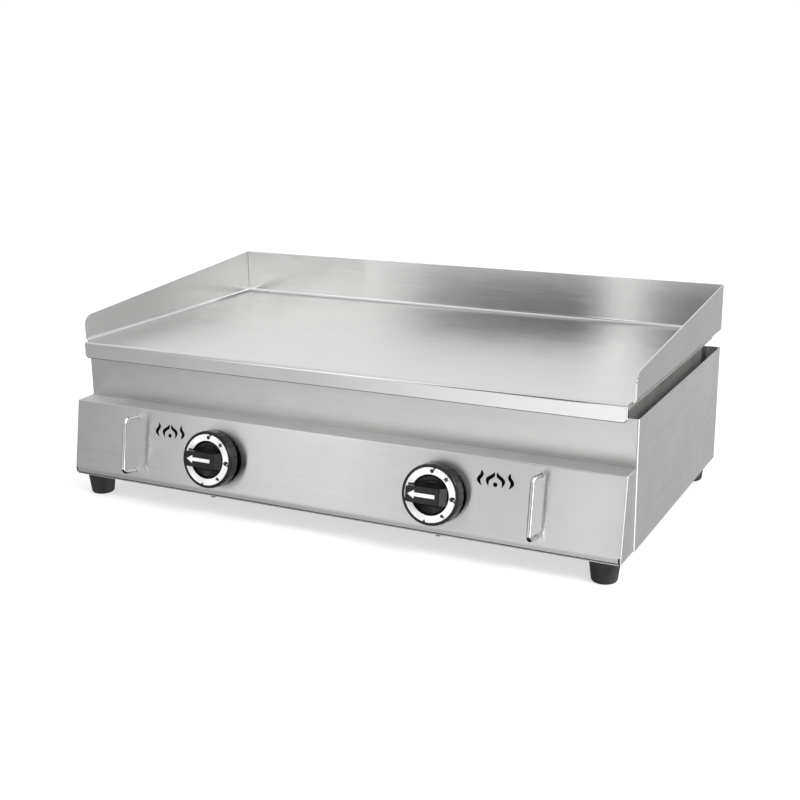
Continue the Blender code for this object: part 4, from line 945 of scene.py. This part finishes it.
KNOB_RADIUS = 34.9 * MM
KNOB_FACE = 18.6 * MM
KNOB_BACK = 4.5 * MM
KNOB_HUB = 7 * MM
KNOB_BOWL = 13.6 * MM
RING_OUTER = 31 * MM
RING_INNER = 23.2 * MM
RING_SEAT = 0.9 * MM
RING_TOP = KNOB_FACE - 0.1 * MM
GRIP_TOP = 26.4 * MM
GRIP_LEFT = -26.9 * MM
GRIP_RIGHT = 14.5 * MM
GRIP_WIDTH = 18.4 * MM
GRIP_DRAFT = 0.86             # width at the grip's top as a part of its width at the foot
GRIP_ROUNDING = 1.1 * MM
GRIP_SINK = 1.5 * MM          # how far the grip's foot reaches under the bowl's floor
PLAN_ROUNDING = 4.5 * MM
FLARE_FOOT = 14.6 * MM        # half the width of the bar's flared sides at the bowl's floor
FLARE_TOP = 9.3 * MM
FLARE_ENDS = (-16.5 * MM, 13.5 * MM)
FLARE_ROUNDING = 1.5 * MM
FLARE_CURVE = 1.5
FLARE_STEPS = 8
FLUTES = 24
FLUTE_DEPTH = 0.45 * MM
FLUTE_FADE = 3 * MM
KNOB_STEPS = 240
RING_STEPS = 160
WALL_STEPS = 10
RIM_ROUNDING = 0.9 * MM
SOCKET_RADIUS = 3.3 * MM
SOCKET_TOP = 13 * MM
PRINT = 0.12 * MM             # thickness of printed marks
MARK_SINK = 0.03 * MM
ARROW_STAND = 0.1 * MM


def grip_bar(where):
    """Bar that the fingers turn, from the rim on the left to a slope on the right."""
    foot = KNOB_BOWL - GRIP_SINK
    seat = KNOB_FACE - RING_SEAT
    corners = [(GRIP_LEFT, seat - MM), (GRIP_LEFT, GRIP_TOP), (GRIP_RIGHT, GRIP_TOP),
               (RING_INNER - 1.5 * MM, KNOB_FACE - 2 * MM), (RING_INNER - 3 * MM, foot)]
    loop = rounded(corners, [2.2 * MM, 2.0 * MM, 1.2 * MM])
    loop += [(3 * MM - RING_INNER, foot), (MM - RING_INNER, seat - MM)]
    side_on = Matrix(((1, 0, 0), (0, 0, -1), (0, 1, 0))).to_4x4()
    wide = GRIP_WIDTH / GRIP_DRAFT
    bar = outline("grip_bar", loop, 2 * wide, where @ side_on)
    plan = outline("plan", rounded_plan(wide / 2), TALL, where)
    inverse = where.inverted()
    for vert in plan.data.vertices:
        local = inverse @ vert.co
        local.y *= 1 - (1 - GRIP_DRAFT) * (local.z - foot) / (GRIP_TOP - foot)
        vert.co = where @ local
    bar = boolean(bar, plan, "INTERSECT")
    add_bevel(bar, GRIP_ROUNDING, 4, 50)
    return baked(bar)


def grip_flare(where):
    """Hollow-sided wedge that spreads the grip bar out towards the bowl's floor."""
    start, end = FLARE_ENDS
    foot = KNOB_BOWL - MM
    top = KNOB_FACE + 3 * MM
    sides = []
    for i in range(FLARE_STEPS + 1):
        part = i / FLARE_STEPS
        reach = FLARE_TOP + (FLARE_FOOT - FLARE_TOP) * (1 - part) ** FLARE_CURVE
        sides.append((reach, foot + (top - foot) * part))
    loop = sides + [(-y, z) for y, z in reversed(sides)]
    middle = Matrix.Translation(((start + end) / 2, 0, 0))
    flare = outline("grip_flare", loop, end - start, where @ middle @ END_ON)
    add_bevel(flare, FLARE_ROUNDING, 4, 60)
    return baked(flare)


def rounded_plan(half):
    """Grip seen from in front: a bar with a blunt rounded left end."""
    left, right = GRIP_LEFT, RING_INNER
    corners = [(right, -half), (left, -half), (left, half), (right, half)]
    return list(reversed(rounded(corners, PLAN_ROUNDING, 10)))


def knob_skirt(name, where):
    """Fluted skirt with a recessed middle, a seat for the ring and a hollow back."""
    seat = KNOB_FACE - RING_SEAT
    rim = [(RING_OUTER + GAP, KNOB_FACE), (KNOB_RADIUS - 0.5 * MM, KNOB_FACE),
           (KNOB_RADIUS, KNOB_BACK)]
    bowl = [(0.01 * MM, KNOB_BOWL), (15 * MM, KNOB_BOWL + 0.4 * MM),
            (RING_INNER - 2.2 * MM, KNOB_BOWL + 1.6 * MM), (RING_INNER - GAP, seat + 0.6 * MM)]
    profile = [(0, KNOB_BOWL)]
    profile += [tuple(p) for p in rounded(bowl, [6 * MM, 2.4 * MM], 8)[1:]]
    profile += [(RING_INNER - GAP, seat), (RING_OUTER + GAP, seat)]
    profile += [tuple(p) for p in rounded(rim, RIM_ROUNDING, 5)[:-1]]
    wall_top = KNOB_FACE - 1.5 * MM
    for i in range(1, WALL_STEPS + 1):
        profile.append((KNOB_RADIUS, wall_top + (KNOB_BACK - wall_top) * i / WALL_STEPS))
    profile += [(KNOB_RADIUS - 2 * MM, KNOB_BACK), (KNOB_RADIUS - 2.6 * MM, KNOB_BOWL - 0.5 * MM),
                (RING_INNER, KNOB_BOWL - 2 * MM), (KNOB_HUB, KNOB_BOWL - 2 * MM),
                (KNOB_HUB, KNOB_BACK), (0, KNOB_BACK)]
    obj = turned(name, profile, where, KNOB_STEPS)
    inverse = where.inverted()
    for vert in obj.data.vertices:
        local = inverse @ vert.co
        radius = math.hypot(local.x, local.y)
        if radius > KNOB_RADIUS - 0.1 * MM and local.z < KNOB_FACE - MM:
            angle = math.atan2(local.y, local.x)
            fade = min(1.0, (KNOB_FACE - MM - local.z) / FLUTE_FADE)
            hollow = FLUTE_DEPTH * fade * (0.5 - 0.5 * math.cos(FLUTES * angle)) ** 2
            scale = (radius - hollow) / radius
            local.x *= scale
            local.y *= scale
            vert.co = where @ local
    return obj


MARK_RADIUS = 27.2 * MM
OFF_ANGLE = 2                 # degrees clockwise from the ring's top
SPARK_ANGLE = 43
HIGH_ANGLE = 92
LOW_ANGLE = 142
NOTCH_ANGLES = (7, 97, 189)
NOTCH_HALF = 1.8 * MM
NOTCH_DEPTH = 3.0 * MM
OFF_DOT = 2.4 * MM
DOT_STEPS = 28
STAR_POINTS = 5
STAR_OUTER = 3.8 * MM
STAR_INNER = 1.7 * MM
LOW_FLAME = 0.75              # size of the low flame beside the high one


def off_dot(where):
    """Thin printed dot that marks the off position."""
    turn = math.radians(OFF_ANGLE)
    x, y = MARK_RADIUS * math.sin(turn), MARK_RADIUS * math.cos(turn)
    spokes = [math.tau * i / DOT_STEPS for i in range(DOT_STEPS)]
    loop = [(x + OFF_DOT * math.cos(a), y + OFF_DOT * math.sin(a)) for a in spokes]
    return outline("off", loop, PRINT, where)


def printed(name, loop, where, angle, size=1.0):
    """A small mark on the ring: its outline is upright at the ring's top, then turned."""
    turn = Matrix.Rotation(-math.radians(angle), 4, "Z")
    shift = Matrix.Translation((0, MARK_RADIUS, 0))
    points = [(x * size, y * size) for x, y in loop]
    return outline(name, points, PRINT, where @ turn @ shift)


def star_loop():
    """Star for the spark position."""
    loop = []
    for i in range(2 * STAR_POINTS):
        radius = STAR_INNER if i % 2 else STAR_OUTER
        angle = math.pi * i / STAR_POINTS
        loop.append((radius * math.sin(angle), radius * math.cos(angle)))
    return loop


def flame_loop():
    """Drop with a curled tip."""
    spine = ((0.8 * MM, 3.8 * MM), (-0.7 * MM, 1.8 * MM), (0.3 * MM, -0.9 * MM), (0.0, -3.6 * MM))
    return leaf(spine, (0, 1.7 * MM, 2.8 * MM, 0), 20)


def ring_marks(word, where):
    """The ring's black marks: off, spark, high flame, low flame and three small notches."""
    marks = [off_dot(where), printed("spark", star_loop(), where, SPARK_ANGLE),
             printed("high", flame_loop(), where, HIGH_ANGLE),
             printed("low", flame_loop(), where, LOW_ANGLE, LOW_FLAME)]
    edge = RING_OUTER - MARK_RADIUS
    notch = [(NOTCH_HALF, edge), (0, RING_OUTER - NOTCH_DEPTH - MARK_RADIUS), (-NOTCH_HALF, edge)]
    marks += [printed("notch", notch, where, angle) for angle in NOTCH_ANGLES]
    return joined(f"dial_marks_{word}", marks)


def joined(name, objects):
    """Several separate small solids as one object."""
    bm = bmesh.new()
    for obj in objects:
        bm.from_mesh(obj.data)
        bpy.data.objects.remove(obj)
    return solid(bm, name)


def pointer_loop():
    """Arrow along the grip, its head to the left."""
    head, tail, neck = -23.5 * MM, 9.5 * MM, -15.5 * MM
    half, wing = 2.1 * MM, 4.9 * MM
    return [(head, 0), (neck, -wing), (neck, -half), (tail, -half), (tail, half), (neck, half),
            (neck, wing)]


def knob(word, side):
    """Knob with its white ring, the ring's marks and the pointer on its grip."""
    where = panel_frame(side * KNOB_X)
    body = f"knob_{word}"
    cap = boolean(knob_skirt(f"knob_{word}_fine", where), grip_flare(where), "UNION")
    cap = boolean(cap, grip_bar(where), "UNION")
    x = side * KNOB_X
    low, high = on_panel(x, 0, KNOB_BACK - MM), on_panel(x, 0, SOCKET_TOP)
    cap = boolean(cap, rod("socket", low, high, SOCKET_RADIUS))
    piece(soften(cap, 0, angle=32), [f"knob_{word}"], "knob_plastic", body)
    white_ring(word, where, body)
    lift = Matrix.Translation((0, 0, RING_TOP + PRINT / 2 - MARK_SINK))
    marks = ring_marks(word, where @ lift)
    piece(marks, [], "black_print", body)
    arrow_lift = Matrix.Translation((0, 0, GRIP_TOP + ARROW_STAND - PRINT / 2))
    arrow = outline(f"pointer_{word}", pointer_loop(), PRINT, where @ arrow_lift)
    piece(arrow, [], "dial_white", body)


def white_ring(word, where, body):
    """Flat white ring, open where the grip crosses it."""
    low = KNOB_FACE - RING_SEAT + 0.05 * MM
    edge = 0.15 * MM
    profile = [(RING_INNER, RING_TOP - edge), (RING_INNER + edge, RING_TOP),
               (RING_OUTER - edge, RING_TOP), (RING_OUTER, RING_TOP - edge), (RING_OUTER, low),
               (RING_INNER, low), (RING_INNER, RING_TOP - edge)]
    ring = turned(f"dial_ring_{word}_fine", profile, where, RING_STEPS)
    half = GRIP_WIDTH / GRIP_DRAFT / 2 + GAP
    end = GRIP_LEFT - GAP
    loop = [(end, -half), (0, -half), (0, half), (end, half)]
    ring = boolean(ring, outline("grip_gap", loop, TALL, where))
    piece(soften(ring, 0, angle=30), [f"dial_ring_{word}"], "dial_white", body)


# ---- handles, feet and screws

def handle(word, side):
    """Polished wire bent into a staple, with eased ends behind the panel."""
    x = side * HANDLE_X
    inside = -HANDLE_TAIL
    top, bottom = KNOB_DROP - HANDLE_TOP, KNOB_DROP - HANDLE_BOTTOM
    corners = [on_panel(x, top, inside), on_panel(x, top, HANDLE_REACH),
               on_panel(x, bottom, HANDLE_REACH), on_panel(x, bottom, inside)]
    obj = tube(f"handle_{word}_fine", rounded(corners, HANDLE_BEND, 14), WIRE, 10)
    piece(soften(obj, 0.3 * MM, 2, 60), [f"handle_{word}"], "polished_steel")


FOOT_HEIGHT = SHELL_LOW.z - CAD_BOUNDS[0][2]
FOOT_TOP_RADIUS = 17.6 * MM
FOOT_BOTTOM_RADIUS = 14.2 * MM
FOOT_RECESS = 12 * MM
FOOT_RECESS_RADIUS = 7 * MM
FOOT_HOLE = 2.8 * MM
FOOT_SCREW = (6 * MM, 2.5 * MM, 22 * MM)      # head radius, shank radius, shank length
REAR_SCREW = (3.6 * MM, 1.7 * MM, 9 * MM)
PANEL_SCREW = (3.6 * MM, 1.7 * MM, 8 * MM)
HEAD_HEIGHT = 0.55            # of a screw's head radius
PITCH = 0.6 * MM
THREAD_ROOT = 0.86            # of a screw's shank radius


def foot(word):
    """Tapered rubber foot with rounded rims and a recess for its screw."""
    low, high = box(f"foot_{word}")
    where = Matrix.Translation(((low.x + high.x) / 2, (low.y + high.y) / 2, low.z))
    top = FOOT_HEIGHT - GAP
    outer = [(FOOT_HOLE, top), (FOOT_TOP_RADIUS, top), (FOOT_BOTTOM_RADIUS, 0),
             (FOOT_RECESS_RADIUS, 0), (FOOT_RECESS_RADIUS, FOOT_RECESS)]
    profile = [tuple(p) for p in rounded(outer, [1.2 * MM, 3.6 * MM, 0.5 * MM], 8)]
    profile += [(FOOT_HOLE, FOOT_RECESS), (FOOT_HOLE, top)]
    piece(soften(turned(f"foot_{word}_fine", profile, where, 64), 0, angle=35), [f"foot_{word}"],
          "foot_rubber")


def screw(node, direction, head_radius, shank, length):
    """Pan-head screw with a cross recess and a shank ribbed like a thread."""
    low, high = box(node)
    centre = (low + high) / 2
    out = -Vector(direction)
    head = HEAD_HEIGHT * head_radius
    seat = centre + out * (length - head) / 2
    turn = out.to_track_quat("Z", "Y").to_matrix().to_4x4()
    where = Matrix.Translation(seat) @ turn
    dome = [(head_radius * math.cos(a), head * 0.25 + head * 0.75 * math.sin(a))
            for a in [math.pi / 2 * i / 8 for i in range(8)]]
    profile = [(0, head), *reversed(dome), (head_radius, 0.1 * MM), (head_radius - 0.15 * MM, 0),
               (shank, 0)]
    for i in range(int(length / PITCH)):
        top = -i * PITCH
        profile += [(shank, top - 0.1 * PITCH), (shank * THREAD_ROOT, top - PITCH / 2),
                    (shank, top - 0.9 * PITCH)]
    profile += [(shank * 0.8, -length), (0, -length)]
    obj = turned(f"{node}_fine", profile, where, 32)
    for angle in (0, math.pi / 2):
        arm = Matrix.Rotation(angle, 4, "Z")
        half, width = head_radius * 0.55, head_radius * 0.13
        loop = [(-half, -width), (half, -width), (half, width), (-half, width)]
        cut = outline("cross", loop, 1.1 * head, where @ Matrix.Translation((0, 0, head)) @ arm)
        obj = boolean(obj, cut)
    piece(soften(obj, 0, angle=40), [node], "zinc_steel")


# ---- assembly

SINGLE_NODES = (("heat_plate", "plain_steel"), ("firebox", "plain_steel"),
                ("rear_panel", "body_steel"), ("base_panel", "zinc_steel"),
                ("gas_manifold", "zinc_steel"), ("manifold_plug", "brass"),
                ("gas_feed_pipe", "zinc_steel"), ("gas_inlet_nozzle", "brass"),
                ("inlet_lock_nut", "brass"))
PAIRED_NODES = (("burner", "plain_steel"), ("burner_bracket", "zinc_steel"),
                ("injector", "brass"), ("valve_body", "brass"), ("valve_cap", "zinc_steel"),
                ("spark_electrode", "ceramic"), ("ignition_lead", "silicone"))


def build():
    """Makes every piece and hangs it on its body."""
    tray()
    body_shell()
    control_panel()
    for node, material in SINGLE_NODES:
        refined(node, material, angle=48)
    for word, side in SIDES:
        knob(word, side)
        handle(word, side)
        for node, material in PAIRED_NODES:
            refined(f"{node}_{word}", material, width=0.2 * MM, angle=48)
        for place_word in ("top", "bottom"):
            refined(f"handle_nut_{word}_{place_word}", "zinc_steel", angle=48)
        refined(f"valve_plug_{word}", "brass", f"plug_{word}", 0.15 * MM)
        refined(f"valve_spring_{word}", "zinc_steel", f"plug_{word}", 0, 60)
        refined(f"valve_spindle_{word}", "zinc_steel", f"knob_{word}", 0.15 * MM)
        for end in ("front", "rear"):
            foot(f"{end}_{word}")
            screw(f"foot_screw_{end}_{word}", (0, 0, 1), *FOOT_SCREW)
    for number in (1, 2, 3, 4):
        screw(f"rear_screw_{number}", (0, -1, 0), *REAR_SCREW)
    for number in (1, 2):
        screw(f"panel_screw_{number}", (0, 0, 1), *PANEL_SCREW)


make_camera()
make_world()
make_floor()
make_key_light()
build()
